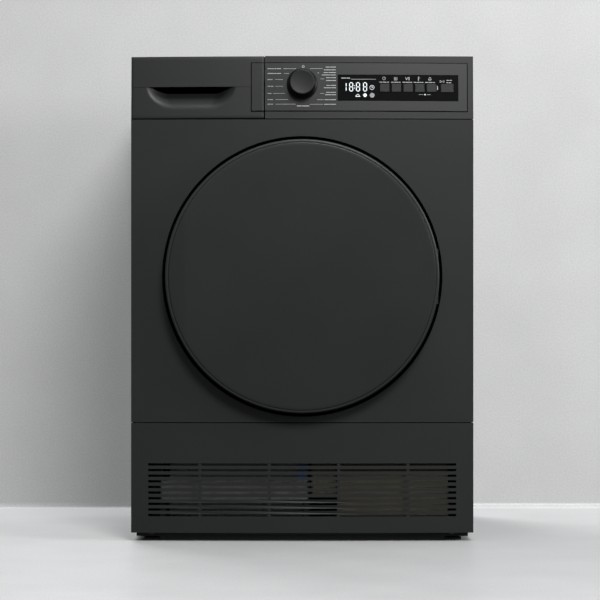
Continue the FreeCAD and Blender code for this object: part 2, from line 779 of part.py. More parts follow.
for side in (-1, 1):
    solid.append(
        box(
            f"{side}*(filter_half + 2) + {min(0, side * 4)}",
            f"{side}*(filter_half + 2) + {max(0, side * 4)}",
            f"{APRON} + 2",
            "filter_front - 2",
            "168",
            "243",
        )
    )
    stud_end = "roller_y + roller_w/2 + 5"
    solid.append(rod("Y", f"{side}*roller_x", ROLLER_Z, f"{APRON} + 2", stud_end, "stud_r"))
    x0, x1 = (f"{side}*220", f"{side}*240") if side > 0 else (f"{side}*240", f"{side}*220")
    solid.append(box(x0, x1, f"{APRON} - 10", f"{APRON} + 1", "190", "205"))
hollow = [
    rod("Y", "0", "door_z", f"{RECESS_Y} - 1", f"{DRUM_FRONT} - 8", "throat_r"),
    box("-232", "-210", f"{RECESS_Y} - 1", f"{THROAT_Y} + 26", "door_z - 14", "door_z + 14"),
    box(
        "-(filter_half + 1)",
        "filter_half + 1",
        "filter_front - 1",
        f"{FILTER_BACK} + 1",
        "filter_foot - 2",
        "door_z - 100",
    ),
    box("-100", "pump_right - 8", "filter_front", FILTER_BACK, "cover_top - 1", "filter_foot"),
]
for side in (-1, 1):
    x0, x1 = (f"{side}*224", f"{side}*236") if side > 0 else (f"{side}*236", f"{side}*224")
    hollow.append(box(x0, x1, f"{APRON} - 11", f"{APRON} - 2", "193.5", "201.5"))
cut(fuse(*solid), *hollow, label="front_bulkhead")

turned(
    "drum_felt",
    [
        (DRUM_FRONT, COLLAR_R),
        (DRUM_FRONT, "drum_mouth_r - air"),
        (f"{DRUM_FRONT} + 9", "drum_mouth_r - air"),
        (f"{DRUM_FRONT} + 9", COLLAR_R),
    ],
    z="door_z",
)

# ---------------------------------------------------------------- door hinge and door

lugs = []
for side in (-1, 1):
    foot = f"door_z + {side}*hinge_span/2 - lug_high/2"
    head = f"{foot} + lug_high"
    lugs.append(box("hinge_x - lug_r", "hinge_x + lug_r", HINGE_Y, f"{RECESS_Y} - 2", foot, head))
    lugs.append(rod("Z", "hinge_x", HINGE_Y, foot, f"{foot} + lug_high", "lug_r"))
cut(
    fuse(
        box("hinge_x - 16", "hinge_x + 12", f"{RECESS_Y} - 2.5", RECESS_Y, "door_z - 48", "door_z + 48"),
        *lugs,
    ),
    rod("Z", "hinge_x", HINGE_Y, "door_z - 60", "door_z + 60", "pin_r + fit"),
    label="hinge_plate",
)

DISC_R = "(door_r - bezel_w)"
cut(
    turned(
        "blank",
        [
            (FACE, DISC_R),
            (FACE, "door_r - 3", "-3"),
            (f"{FACE} + 3", "door_r"),
            (f"{FACE} + 19.5", "door_r"),
            (DOOR_BACK, "door_r - 12"),
            (DOOR_BACK, f"{PLUG_R} + 1"),
            (f"{DOOR_BACK} - door_wall", f"{PLUG_R} + 1"),
            (f"{DOOR_BACK} - door_wall", "door_r - 14"),
            (f"{FACE} + 19", "door_r - 3.5"),
            (f"{FACE} + 7", "door_r - 3.5"),
            (f"{FACE} + 6", "door_r - 18"),
            (f"{FACE} + 3.2", "door_r - 18"),
            (f"{FACE} + 3.2", DISC_R),
        ],
        z="door_z",
    ),
    box(
        "hinge_x - 12",
        "door_r + 5",
        f"{FACE} + 6.5",
        f"{DOOR_BACK} + 1",
        "door_z - hinge_span/2 - 10",
        "door_z + hinge_span/2 + 10",
    ),
    label="door_frame",
)
cut(
    turned(
        "blank",
        [
            (FACE, "0"),
            (FACE, f"{DISC_R} - 0.9"),
            (f"{FACE} + 0.5", f"{DISC_R} - 0.4"),
            (f"{FACE} + 3.2", f"{DISC_R} - 0.4"),
            (f"{FACE} + 3.2", "0"),
        ],
        z="door_z",
    ),
    prism(
        "XY",
        "door_z - door_r",
        "2*door_r",
        [
            ("-crease_x", FACE),
            ("-door_r", f"{FACE} + crease_fall"),
            ("-door_r", f"{FACE} - 2"),
            ("-crease_x", f"{FACE} - 2"),
        ],
    ),
    label="door_disc",
)
turned(
    "door_bowl",
    [
        (f"{DOOR_BACK} - door_wall - 2.5", f"{PLUG_R} + 15"),
        (f"{DOOR_BACK} - door_wall", f"{PLUG_R} + 15"),
        (f"{DOOR_BACK} - door_wall", PLUG_R),
        (f"{DOOR_BACK} + plug_deep - 9", PLUG_R, "-9"),
        (f"{DOOR_BACK} + plug_deep", f"{PLUG_R} - 9"),
        (f"{DOOR_BACK} + plug_deep", f"{PLUG_R} - 32"),
        (f"{DOOR_BACK} + plug_deep - 9", f"{PLUG_R} - 90"),
        (f"{DOOR_BACK} + plug_deep - 9", "0"),
        (f"{DOOR_BACK} + plug_deep - 11.5", "0"),
        (f"{DOOR_BACK} + plug_deep - 11.5", f"{PLUG_R} - 90.5"),
        (f"{DOOR_BACK} + plug_deep - 2.5", f"{PLUG_R} - 32.5"),
        (f"{DOOR_BACK} + plug_deep - 2.5", f"{PLUG_R} - 9", "6.5"),
        (f"{DOOR_BACK} + plug_deep - 9", f"{PLUG_R} - 2.5"),
        (f"{DOOR_BACK} - door_wall - 2.5", f"{PLUG_R} - 2.5"),
    ],
    z="door_z",
)
hinge = [
    box(
        "hinge_x - 22",
        "hinge_x - 13",
        f"{FACE} + 8.5",
        f"{DOOR_BACK} - door_wall",
        "door_z - hinge_span/2 - 10",
        "door_z + hinge_span/2 + 10",
    )
]
for side in (-1, 1):
    middle = f"door_z + {side}*hinge_span/2"
    for way in (-1, 1):
        near = f"{middle} + {way}*(lug_high/2 + air)"
        far = f"{middle} + {way}*(lug_high/2 + air + 5.5)"
        low, high = (near, far) if way > 0 else (far, near)
        hinge.append(
            box("hinge_x - 14", "hinge_x + lug_r", f"{HINGE_Y} - lug_r", f"{HINGE_Y} + lug_r", low, high)
        )
    hinge.append(rod("Z", "hinge_x", HINGE_Y, f"{middle} - lug_high", f"{middle} + lug_high", "pin_r"))
fuse(*hinge, label="door_hinge")
prism(
    "XY",
    "door_z - 5",
    "10",
    [
        ("-230", DOOR_BACK),
        ("-213", DOOR_BACK),
        ("-213", f"{DOOR_BACK} + 1.6"),
        ("-220", f"{DOOR_BACK} + 1.6"),
        ("-220", f"{DOOR_BACK} + 16"),
        ("-216.5", f"{DOOR_BACK} + 16"),
        ("-219.5", f"{DOOR_BACK} + 20"),
        ("-223", f"{DOOR_BACK} + 20"),
        ("-223", f"{DOOR_BACK} + 1.6"),
        ("-230", f"{DOOR_BACK} + 1.6"),
    ],
    label="latch_hook",
)
group(
    "door_screws",
    [
        rod(
            "Y",
            f"(door_r - 24)*cos({angle})",
            f"door_z + (door_r - 24)*sin({angle})",
            DOOR_BACK,
            f"{DOOR_BACK} + 1.8",
            "3.5",
        )
        for angle in (22.5, 67.5, 112.5, 157.5, 202.5, 247.5, 292.5, 337.5)
    ],
)

# ---------------------------------------------------------------- drum and what carries it

turned(
    "drum_shell",
    [
        (DRUM_FRONT, "drum_mouth_r"),
        (DRUM_FRONT, "drum_mouth_r + drum_wall"),
        (f"{DRUM_FRONT} + 13", "drum_mouth_r + drum_wall"),
        (f"{DRUM_FRONT} + 27", "drum_r"),
        ("drum_back", "drum_r"),
        ("drum_back", "drum_r - drum_wall"),
        (f"{DRUM_FRONT} + 27.6", "drum_r - drum_wall"),
        (f"{DRUM_FRONT} + 13.6", "drum_mouth_r"),
    ],
    z="door_z",
)
rear_disc = turned(
    "blank",
    [
        ("drum_back - 1.2", "0"),
        ("drum_back - 1.2", "drum_r - drum_wall"),
        ("drum_back", "drum_r - drum_wall"),
        ("drum_back", "shaft_r + 20"),
        ("drum_back + 6", "shaft_r + 16"),
        ("drum_back + 6", "shaft_r"),
        ("drum_back + 28", "shaft_r"),
        ("drum_back + 28", "0"),
    ],
    z="door_z",
)
pocket(
    rear_disc,
    "XZ",
    "drum_back - 2",
    "3",
    rectangle("-slot_w/2", "slot_inner", "slot_w/2", "slot_outer"),
)
polar(rear_disc, 24)
rear_disc.Label = "drum_rear_plate"

INNER_R = "(drum_r - drum_wall)"
LIFTER_Z = f"sqrt({INNER_R}^2 - (lifter_wide/2)^2)"
lifters = []
for angle in (90, 210, 330):
    lifter = prism(
        "XZ",
        f"{DRUM_FRONT} + 43",
        "drum_long - 80",
        [
            ("-lifter_wide/2", f"-{LIFTER_Z}", INNER_R),
            ("lifter_wide/2", f"-{LIFTER_Z}"),
            ("lifter_wide/2 - 12", f"-({INNER_R} - lifter_high*0.5)"),
            ("lifter_wide/5", f"-({INNER_R} - lifter_high + 4)"),
            ("lifter_wide/5 - 5", f"-({INNER_R} - lifter_high)"),
            ("5 - lifter_wide/5", f"-({INNER_R} - lifter_high)"),
            ("-lifter_wide/5", f"-({INNER_R} - lifter_high + 4)"),
            ("12 - lifter_wide/2", f"-({INNER_R} - lifter_high*0.5)"),
        ],
    )
    lifters.append(about_y(lifter, angle, z="door_z"))
group("drum_lifters", lifters)

for side, label in ((-1, "left_drum_roller"), (1, "right_drum_roller")):
    y0, y1 = "(roller_y - roller_w/2)", "(roller_y + roller_w/2)"
    turned(
        label,
        [
            (y0, "stud_r + fit"),
            (y0, "stud_r + 7"),
            (f"{y0} + 6", "stud_r + 7"),
            (f"{y0} + 6", "roller_r - 7"),
            (y0, "roller_r - 7"),
            (y0, "roller_r - 2"),
            (f"{y0} + 2", "roller_r"),
            (f"{y1} - 2", "roller_r"),
            (y1, "roller_r - 2"),
            (y1, "roller_r - 7"),
            (f"{y1} - 6", "roller_r - 7"),
            (f"{y1} - 6", "stud_r + 7"),
            (y1, "stud_r + 7"),
            (y1, "stud_r + fit"),
        ],
        x=f"{side}*roller_x",
        z=ROLLER_Z,
    )

RING_R = "(slot_outer + 10)"
carrier = [
    turned(
        "blank",
        [
            ("drum_back + 2", RING_R),
            ("drum_back + 2", f"{RING_R} + 3"),
            (f"{BACK} - steel", f"{RING_R} + 3"),
            (f"{BACK} - steel", RING_R),
        ],
        z="door_z",
    ),
    turned(
        "blank",
        [
            ("drum_back + 8", "shaft_r + fit"),
            ("drum_back + 8", "shaft_r + 12"),
            ("drum_back + 32", "shaft_r + 12"),
            ("drum_back + 32", "shaft_r + fit"),
        ],
        z="door_z",
    ),
]
for angle in (0, 120, 240):
    arm = prism("XZ", "drum_back + 24", "10", rectangle("-7", "shaft_r + 10", "7", f"{RING_R} + 1.5"))
    carrier.append(about_y(arm, angle, z="door_z"))
fuse(*carrier, label="bearing_housing")

# ---------------------------------------------------------------- motor, fan, belt and idler

MOTOR_END = "(motor_front + motor_long)"
turned(
    "drive_motor",
    [
        ("motor_front", "rotor_r + fit"),
        ("motor_front", "motor_r - 22"),
        ("motor_front + 8", "motor_r - 14"),
        ("motor_front + 8", "motor_r"),
        (f"{MOTOR_END} - 8", "motor_r"),
        (f"{MOTOR_END} - 8", "motor_r - 14"),
        (MOTOR_END, "motor_r - 22"),
        (MOTOR_END, "rotor_r + fit"),
    ],
    x="motor_x",
    z="motor_z",
)
FAN_Y = f"({MOTOR_END} + 44)"
turned(
    "motor_rotor",
    [
        ("belt_y - 10", "0"),
        ("belt_y - 10", "rotor_r"),
        ("belt_y - belt_w/2 - 3.5", "rotor_r"),
        ("belt_y - belt_w/2 - 3.5", "pulley_r + 3"),
        ("belt_y - belt_w/2 - 1.5", "pulley_r + 3"),
        ("belt_y - belt_w/2 - 1.5", "pulley_r"),
        ("belt_y + belt_w/2 + 1.5", "pulley_r"),
        ("belt_y + belt_w/2 + 1.5", "pulley_r + 3"),
        ("belt_y + belt_w/2 + 3.5", "pulley_r + 3"),
        ("belt_y + belt_w/2 + 3.5", "rotor_r"),
        (f"{FAN_Y} + 37", "rotor_r"),
        (f"{FAN_Y} + 37", "0"),
    ],
    x="motor_x",
    z="motor_z",
)
fan = turned(
    "process_fan",
    [
        (FAN_Y, "rotor_r"),
        (FAN_Y, "impeller_r"),
        (f"{FAN_Y} + 2", "impeller_r"),
        (f"{FAN_Y} + 2", "rotor_r + 9"),
        (f"{FAN_Y} + 34", "rotor_r + 6"),
        (f"{FAN_Y} + 34", "rotor_r"),
    ],
    x="motor_x",
    z="motor_z",
)
pad(fan, "XZ", f"{FAN_Y} + 1", "33", rectangle("-0.8", "rotor_r + 5", "0.8", "impeller_r"))
polar(fan, 16)


def tangent(c0, r0, c1, r1, side0, side1):
    """End points of the line that touches two circles; side is +1 where the circle lies left of the line."""
    way = c1 - c0
    rise = (side0 * r0 - side1 * r1) / way.Length
    base = math.atan2(way.z, way.x)
    angle = base + math.asin(rise)
    normal = V(-math.sin(angle), 0, math.cos(angle))
    return c0 - normal * (side0 * r0), c1 - normal * (side1 * r1)


def belt_wire(extra):
    """Closed run round drum and pulley, the idler outside it; extra is the offset from the belt's back."""
    y = number("belt_y - belt_w/2")
    air, thick = number("air"), number("belt_thick")
    drum, r_drum = V(0, y, number("door_z")), number("drum_r") + air + extra
    pulley, r_pulley = V(number("motor_x"), y, number("motor_z")), number("pulley_r") + air + extra
    idler, r_idler = V(number("idler_x"), y, number("idler_z")), number("idler_r") + air + thick - extra
    # drawn anticlockwise as seen from the front: drum's left side, idler, pulley, drum's right side
    a0, a1 = tangent(drum, r_drum, idler, r_idler, 1, -1)
    b0, b1 = tangent(idler, r_idler, pulley, r_pulley, -1, 1)
    c0, c1 = tangent(pulley, r_pulley, drum, r_drum, 1, 1)

    def arc(centre, radius, start, end, away):
        middle = centre + away.normalize() * radius
        return Part.Arc(start, middle, end).toShape()

    return Part.Wire(
        [
            Part.makeLine(a0, a1),
            arc(idler, r_idler, a1, b0, (a1 + b0) * 0.5 - idler),
            Part.makeLine(b0, b1),
            arc(pulley, r_pulley, b1, c0, pulley - drum),
            Part.makeLine(c0, c1),
            arc(drum, r_drum, c1, a0, drum - pulley),
        ]
    )


belt_face = Part.Face(belt_wire(number("belt_thick"))).cut(Part.Face(belt_wire(0)))
free_shape("drive_belt", belt_face.extrude(V(0, number("belt_w"), 0)))

arm_link = prism(
    "XZ",
    "belt_y - 14",
    "6",
    [
        ("pivot_x", "pivot_z - 7"),
        ("idler_x", "idler_z - 6"),
        ("idler_x", "idler_z + 6"),
        ("pivot_x", "pivot_z + 7"),
    ],
)
cut(
    fuse(
        arm_link,
        rod("Y", "pivot_x", "pivot_z", "belt_y - 14", "belt_y - 8", "pivot_r + 5"),
        rod("Y", "idler_x", "idler_z", "belt_y - 14", "belt_y - 8", "pivot_r + 3"),
        rod("Y", "idler_x", "idler_z", "belt_y - 9", "belt_y + 7", "pivot_r"),
    ),
    rod("Y", "pivot_x", "pivot_z", "belt_y - 15", "belt_y - 7", "pivot_r + fit"),
    label="idler_arm",
)
turned(
    "idler_pulley",
    [
        ("belt_y - 6", "pivot_r + fit"),
        ("belt_y - 6", "idler_r"),
        ("belt_y + 6", "idler_r"),
        ("belt_y + 6", "pivot_r + fit"),
    ],
    x="idler_x",
    z="idler_z",
)

# ---------------------------------------------------------------- heat pump

HOUSE_END = f"({FAN_Y} + 40)"


def pump_plan(inset):
    """Plan outline of the heat pump cover: narrow beside the belt, wide again where the fan sits."""
    left, right, narrow = f"(pump_left + {inset})", f"(pump_right - {inset})", f"(-2 - {inset})"
    fan_side = f"(motor_x - impeller_r - 4 + {inset})"
    step, turn = f"(belt_y - 30 - {inset})", f"({FAN_Y} - 10 + {inset})"
    return [
        (left, f"pump_front + {inset}"),
        (right, f"pump_front + {inset}"),
        (right, step),
        (narrow, step),
        (narrow, turn),
        (fan_side, turn),
        (fan_side, f"{HOUSE_END} - {inset}"),
        (left, f"{HOUSE_END} - {inset}"),
    ]


outer = [
    prism("XY", TRAY_TOP, f"cover_top - {TRAY_TOP}", pump_plan("0")),
    rod("Y", "motor_x", "motor_z", f"{FAN_Y} - 7", f"{HOUSE_END} + 2.5", "impeller_r + 6.5"),
    rod("Y", "motor_x", "motor_z", f"{HOUSE_END} + 1", f"{BACK} - steel", "47.5"),
]
inner = [
    prism("XY", f"{TRAY_TOP} - 1", f"cover_top - plastic - {TRAY_TOP} + 1", pump_plan("plastic")),
    rod("Y", "motor_x", "motor_z", f"{FAN_Y} - 4.5", HOUSE_END, "impeller_r + 4"),
    rod("Y", "motor_x", "motor_z", f"{HOUSE_END} - 1", f"{BACK}", "45"),
    rod("Y", "motor_x", "motor_z", f"{FAN_Y} - 9", FAN_Y, "rotor_r + 3"),
    box("-98", "pump_right - 10", "filter_front + 1", f"{FILTER_BACK} - 1", "cover_top - 5", "cover_top + 1"),
    box("pump_left + 10", "pump_right - 10", "pump_front - 1", "pump_front + 5", "40", "cover_top - 14"),
    rod("X", "-130", "130", "pump_right - 5", "pump_right + 1", "pipe_r + 1"),
    rod("X", "belt_y - 40", "compressor_z", "pump_right - 5", "pump_right + 1", "pipe_r + 1"),
]
cut(fuse(*outer), *inner, label="heat_pump_cover")

exchangers = []
for x1, y0, y1 in (("pump_right - 8", "-165", "-95"), ("-8", "belt_y - 20", "belt_y + 90")):
    core = box("pump_left + 16", f"{x1} - 6", y0, y1, "20", "cover_top - 8")
    plates = [
        box(a, b, f"{y0} - 3", f"{y1} + 3", "16", "cover_top - 5")
        for a, b in (("pump_left + 14", "pump_left + 17"), (f"{x1} - 7", f"{x1} - 4"))
    ]
    exchangers.append(fuse(core, *plates))
group("heat_exchangers", exchangers)

turned(
    "compressor",
    [
        ("-225", "0"),
        ("-225", "compressor_r - 24"),
        ("-213", "compressor_r - 6"),
        ("-205", "compressor_r"),
        ("-105", "compressor_r"),
        ("-97", "compressor_r - 6"),
        ("-85", "compressor_r - 24"),
        ("-85", "0"),
    ],
    x="compressor_x",
    z="compressor_z",
)
BEND = 10
suction = [
    ("pump_right - 12", "-130", "130"),
    ("140", "-130", "130"),
    ("140", "-130", "compressor_z"),
    ("compressor_x - compressor_r", "-130", "compressor_z"),
]
delivery = [
    ("compressor_x", "-85", "compressor_z"),
    ("compressor_x", "belt_y - 40", "compressor_z"),
    ("-30", "belt_y - 40", "compressor_z"),
    ("-30", "belt_y - 20", "compressor_z"),
]
crossing = [("-60", "-95", "60"), ("-60", "belt_y - 20", "60")]
pipes = [pipe(suction, number("pipe_r"), BEND), pipe(delivery, number("pipe_r"), BEND)]
pipes.append(pipe(crossing, number("pipe_r/2"), BEND))
free_shape("refrigerant_pipes", Part.makeCompound(pipes))

cover = [
    box("pump_left + 3", "pump_right - 3", "pump_front - 3", "pump_front", "66", "cover_top - 6"),
    cut(
        box("pump_left + 3", "pump_right - 3", "pump_front - 8", "pump_front - 2", "66", "cover_top - 6"),
        box("pump_left + 24", "pump_right - 24", "pump_front - 9", "pump_front - 3", "74", "cover_top - 14"),
    ),
]
cover += [
    box(f"pump_left + {x}", f"pump_left + {x} + 3", "pump_front - 7", "pump_front - 2", "70", "cover_top - 10")
    for x in (60, 95, 130, 165, 200)
]
sockets = [
    rod("Y", x, "lever_z", "pump_front - 9", "pump_front - 2", "4 + fit")
    for x in ("lever_left_x", "lever_right_x")
]
cut(fuse(*cover), *sockets, label="exchanger_cover")
for label, x in (("left_lever", "lever_left_x"), ("right_lever", "lever_right_x")):
    fuse(
        rod("Y", x, "lever_z", "pump_front - 13", "pump_front - 8.3", "7"),
        rod("Y", x, "lever_z", "pump_front - 9", "pump_front - 3", "4"),
        box(f"{x} - 6.5", f"{x} + 6.5", "pump_front - 17", "pump_front - 12.5", "lever_z - 13", "lever_z + 13"),
        label=label,
    )

# ---------------------------------------------------------------- water: filter, pump, hose, tank

frame = [
    cut(
        box("-filter_half", "filter_half", "filter_front", FILTER_BACK, "filter_foot", "filter_head"),
        box(
            "8 - filter_half",
            "filter_half - 8",
            "filter_front - 1",
            f"{FILTER_BACK} + 1",
            "filter_foot + 7",
            "filter_head - 16",
        ),
        box("-32", "32", "filter_front + 4", f"{FILTER_BACK} - 4", "filter_head - 9", "filter_head + 1"),
    )
]
frame += [
    box("7 - filter_half", "filter_half - 7", f"{y}", f"{y} + 0.8", "filter_foot + 6", "filter_head - 15")
    for y in ("filter_front + 2", f"{FILTER_BACK} - 2.8")
]
frame += [
    box(f"{x} - 1.5", f"{x} + 1.5", "filter_front + 0.5", f"{FILTER_BACK} - 0.5", "filter_foot + 6", "filter_head - 15")
    for x in (-62, -21, 21, 62)
]
fuse(*frame, label="lint_filter")

cut(
    fuse(
        rod("Z", "-10", f"{HOUSE_END} + 38", TRAY_TOP, "48", "26"),
        rod("Z", "-10", f"{HOUSE_END} + 38", "46", "86", "17"),
        rod("X", f"{HOUSE_END} + 38", "40", "-46", "-20", "hose_r + 2"),
    ),
    rod("X", f"{HOUSE_END} + 38", "40", "-47", "-38", "hose_r"),
    label="drain_pump",
)
TANK_MID = "((tank_left + tank_right)/2)"
HOSE_Y = f"({BACK} - 22)"
hose = [
    ("-38", f"{HOUSE_END} + 38", "40"),
    ("-200", f"{HOUSE_END} + 38", "40"),
    ("-200", HOSE_Y, "40"),
    ("-200", HOSE_Y, "110"),
    ("-272", HOSE_Y, "110"),
    ("-272", HOSE_Y, "tray_foot + 16"),
    ("-272", "tank_back + 5", "tray_foot + 16"),
]
free_shape("drain_pipe", pipe(hose, number("hose_r"), BEND))

TANK_FRONT = f"({SIDE_FRONT} + 7.5)"
cut(
    box("tank_left", "tank_right", TANK_FRONT, "tank_back", TANK_FOOT, "tank_top"),
    box(
        "tank_left + plastic",
        "tank_right - plastic",
        f"{TANK_FRONT} + plastic",
        "tank_back - plastic",
        f"{TANK_FOOT} + plastic",
        "tank_top - plastic",
    ),
    rod("Z", TANK_MID, "tank_hole_y", "tank_top - 5", "tank_top + 1", "tank_hole_r"),
    label="water_tank",
)
tray = cut(
    box("tank_left - 3.5", "tank_right + 3.5", f"{TANK_FRONT} + 2", "tank_back + 5", "tray_foot", "tray_foot + 28"),
    box(
        "tank_left - 1",
        "tank_right + 1",
        f"{TANK_FRONT} + 1",
        "tank_back + 2.5",
        "tray_foot + plastic",
        "tray_foot + 29",
    ),
)
fuse(
    tray,
    box(f"steel - {SIDE_X}", "tank_left - 3", "0", "20", "tray_foot", "tray_foot + 12"),
    box(f"steel - {SIDE_X}", "tank_left - 3", "150", "170", "tray_foot", "tray_foot + 12"),
    box("tank_right + 3", "tank_right + 6", f"{TANK_FRONT} + 4", f"{TANK_FRONT} + 13", "tray_foot", "tall - 23.5"),
    label="tank_tray",
)

# ---------------------------------------------------------------- leaning console


def leaning_slab(x0, x1, inset, back="46"):
    """Solid behind the leaning bowed surface, taller than the fascia at both ends."""
    slab = prism("XY", "-16", "tall - fascia_foot + 32", bowed_slab(x0, x1, inset, back, front="0"))
    return leaned(slab)


def fascia_blank(x0, x1):
    """Hollow leaning moulding between x0 and x1, open at the back, with level ends."""
    window = box(x0, x1, f"{FRONT} - 5", SKIN_BACK, "fascia_foot", "tall")
    hollow = box(
        f"{x0} - 1", f"{x1} + 1", f"{FRONT} - 5", f"{SKIN_BACK} + 5", "fascia_foot + plastic", "tall - plastic"
    )
    skin = common(leaning_slab(x0, x1, "0"), window)
    core = leaning_slab(f"{x0} + plastic", f"{x1} - plastic", "plastic", "60")
    return cut(skin, common(core, hollow))


def console_sheet(x0, x1, foot, head, inset, thick):
    return leaned(prism("XY", foot, f"({head}) - ({foot})", bowed_sheet(x0, x1, inset, thick, front="0")))


def local_box(x0, x1, y0, y1, z0, z1):
    return leaned(box(x0, x1, y0, y1, z0, z1))


def local_rod(x, z, y0, y1, radius):
    return leaned(rod("Y", x, z, y0, y1, radius))


KEYS = [(f"option_key_{i + 1}", f"(key_first + {i}*key_pitch)", "key_wide") for i in range(5)]
KEYS.append(("start_key", "start_key_x", "start_key_wide"))
KEY_HEAD = "(key_foot + key_high)"
SWITCH_Y = "(board_y - 4)"
KEY_END = f"({SWITCH_Y} - key_gap)"


def key_holes():
    return [
        local_box(
            f"{x} - {w}/2 - air", f"{x} + {w}/2 + air", "-8", "16", "key_foot - air", f"{KEY_HEAD} + air"
        )
        for _, x, w in KEYS
    ]


GRIP_BACK = "(bow + grip_deep - 4)"
drawer = fascia_blank("-wide/2", "split_x - seam")
cup = local_box(
    "grip_x - grip_half - plastic",
    "grip_x + grip_half + plastic",
    "7",
    f"{GRIP_BACK} + plastic",
    "crease_u - grip_high - plastic",
    "crease_u + plastic",
)
cup_space = local_box(
    "grip_x - grip_half", "grip_x + grip_half", "-3", GRIP_BACK, "crease_u - grip_high", "crease_u"
)
strip = console_sheet(
    "console_left", "split_x - seam", "console_foot", "console_head", "-console_proud", "console_proud + 0.5"
)
shelf = box("tank_left + 4", "tank_right - 4", f"{SKIN_BACK} - 20", TANK_FRONT, "tray_foot + 10", "tray_foot + 14")
cut(fuse(drawer, cup, strip, shelf), cup_space, label="drawer_front")

posts = [
    local_rod(f"{x}", f"{z}", "1.5" if x < 100 else "8.5", "board_y", "3") for x in (30, 288) for z in (34, 88)
]
aperture = local_box("window_left + 5", "window_left + 68", "-8", "8", "window_foot + 6", "window_head - 6")
knob_hole = local_rod("0", "knob_u", "-8", "8", "5")
cut(
    fuse(fascia_blank("split_x", "wide/2"), *posts),
    aperture,
    knob_hole,
    *key_holes(),
    label="control_fascia",
)
cut(
    console_sheet(
        "split_x", "console_right", "console_foot", "console_head", "-console_proud", "console_proud - film"
    ),
    local_box("window_left", "window_right", "-8", "8", "window_foot", "window_head"),
    local_rod("0", "knob_u", "-8", "8", "5"),
    label="console_plate",
)
cut(
    console_sheet(
        "window_left + 0.15",
        "window_right - 0.15",
        "window_foot + 0.15",
        "window_head - 0.15",
        "0.2 - console_proud",
        "console_proud - 0.2 - film",
    ),
    *key_holes(),
    label="display_window",
)
for label, x, w in KEYS:
    face = skin_y(x, "-console_proud - key_proud", front="0")
    fuse(
        local_box(f"{x} - {w}/2", f"{x} + {w}/2", face, KEY_END, "key_foot", KEY_HEAD),
        local_box(
            f"{x} - {w}/2 - 1.2", f"{x} + {w}/2 + 1.2", f"{KEY_END} - 2", KEY_END, "key_foot - 1.2", f"{KEY_HEAD} + 1.2"
        ),
        label=label,
    )
board = [local_box("-16", "294", "board_y", "board_y + 1.6", "30", "92")]
board += [local_box(f"{x} - 3", f"{x} + 3", SWITCH_Y, "board_y + 0.5", "key_foot + 4", "key_foot + 10") for _, x, _ in KEYS]
board.append(local_box("window_left + 6", "window_left + 66", "6", "board_y + 0.5", "window_foot + 7", "window_head - 7"))
board.append(local_box("-9", "9", "5", "board_y + 0.5", "knob_u - 9", "knob_u + 9"))
cut(fuse(*board), local_rod("0", "knob_u", "4", "board_y - 5", "3 + fit"), label="control_board")

knob = turned(
    "blank",
    [
        ("board_y - 6", "0"),
        ("board_y - 6", "3"),
        ("-console_proud - 4", "3"),
        ("-console_proud - 4", "knob_skirt_r - 2"),
        ("-console_proud - 0.7", "knob_skirt_r"),
        ("-console_proud - 5", "knob_skirt_r"),
        ("-console_proud - 6", "knob_skirt_r - 1"),
        ("-console_proud - 6", "knob_r"),
        ("2 - console_proud - knob_long", "knob_r - 1.5"),
        ("-console_proud - knob_long", "knob_r - 3.5"),
        ("-console_proud - knob_long", "0"),
    ],
    z="knob_u",
)
leaned(knob, label="program_knob")

# ---------------------------------------------------------------- kick plate

kick_skin = prism("XY", "kick_foot", "kick_head - kick_foot", bowed_shell("wide/2", "kick_wall", SKIN_BACK))
rims = [
    prism("XY", z, "kick_wall", bowed_slab("8 - kick_pin_x", "kick_pin_x - 8", "kick_wall/2", f"{FRONT} + 16"))
    for z in ("kick_foot", "kick_head - kick_wall")
]
slots = [
    box(
        "-grille_half",
        "grille_half",
        f"{FRONT} - 5",
        f"{SKIN_BACK} - 6",
        f"grille_foot + {i}*slot_pitch",
        f"grille_foot + {i}*slot_pitch + slot_high",
    )
    for i in range(10)
]
ribs = [
    prism(
        "XY",
        "grille_foot - 1",
        "10*slot_pitch",
        bowed_sheet(
            f"rib_first + {i}*rib_pitch - 2.5", f"rib_first + {i}*rib_pitch + 2.5", "0.6", "kick_wall + 2"
        ),
    )
    for i in range(4)
]
fittings = []
for side in (-1, 1):
    x0, x1 = span(side, "kick_pin_x - 6", "kick_pin_x")
    fittings.append(box(x0, x1, f"{FRONT} + 7", "kick_axis_y + 5", "kick_axis_z - 6", "kick_axis_z + 6"))
    x0, x1 = span(side, "kick_pin_x - 1", "kick_pin_x + 8.5")
    fittings.append(rod("X", "kick_axis_y", "kick_axis_z", x0, x1, "kick_pin_r"))
    x0, x1 = span(side, "226", "234")
    fittings.append(box(x0, x1, f"{FRONT} + 6", f"{APRON} - 4", "196", "199"))
fuse(cut(fuse(kick_skin, *rims), *slots), *ribs, *fittings, label="kick_plate")

# ---------------------------------------------------------------- check and write

NODES = """
left_side_panel right_side_panel front_panel opening_seal rear_panel rear_duct_cover rear_screws worktop
top_rails base_tray front_bulkhead drum_felt hinge_plate control_fascia console_plate display_window
control_board tank_tray bearing_housing drive_motor drive_belt compressor heat_exchangers refrigerant_pipes
heat_pump_cover exchanger_cover drain_pump drain_pipe
door_frame door_disc door_bowl door_hinge latch_hook door_screws
drum_shell drum_rear_plate drum_lifters left_drum_roller right_drum_roller
motor_rotor process_fan idler_arm idler_pulley lint_filter water_tank drawer_front kick_plate program_knob
option_key_1 option_key_2 option_key_3 option_key_4 option_key_5 start_key left_lever right_lever
foot_front_left foot_front_right foot_rear_left foot_rear_right
""".split()

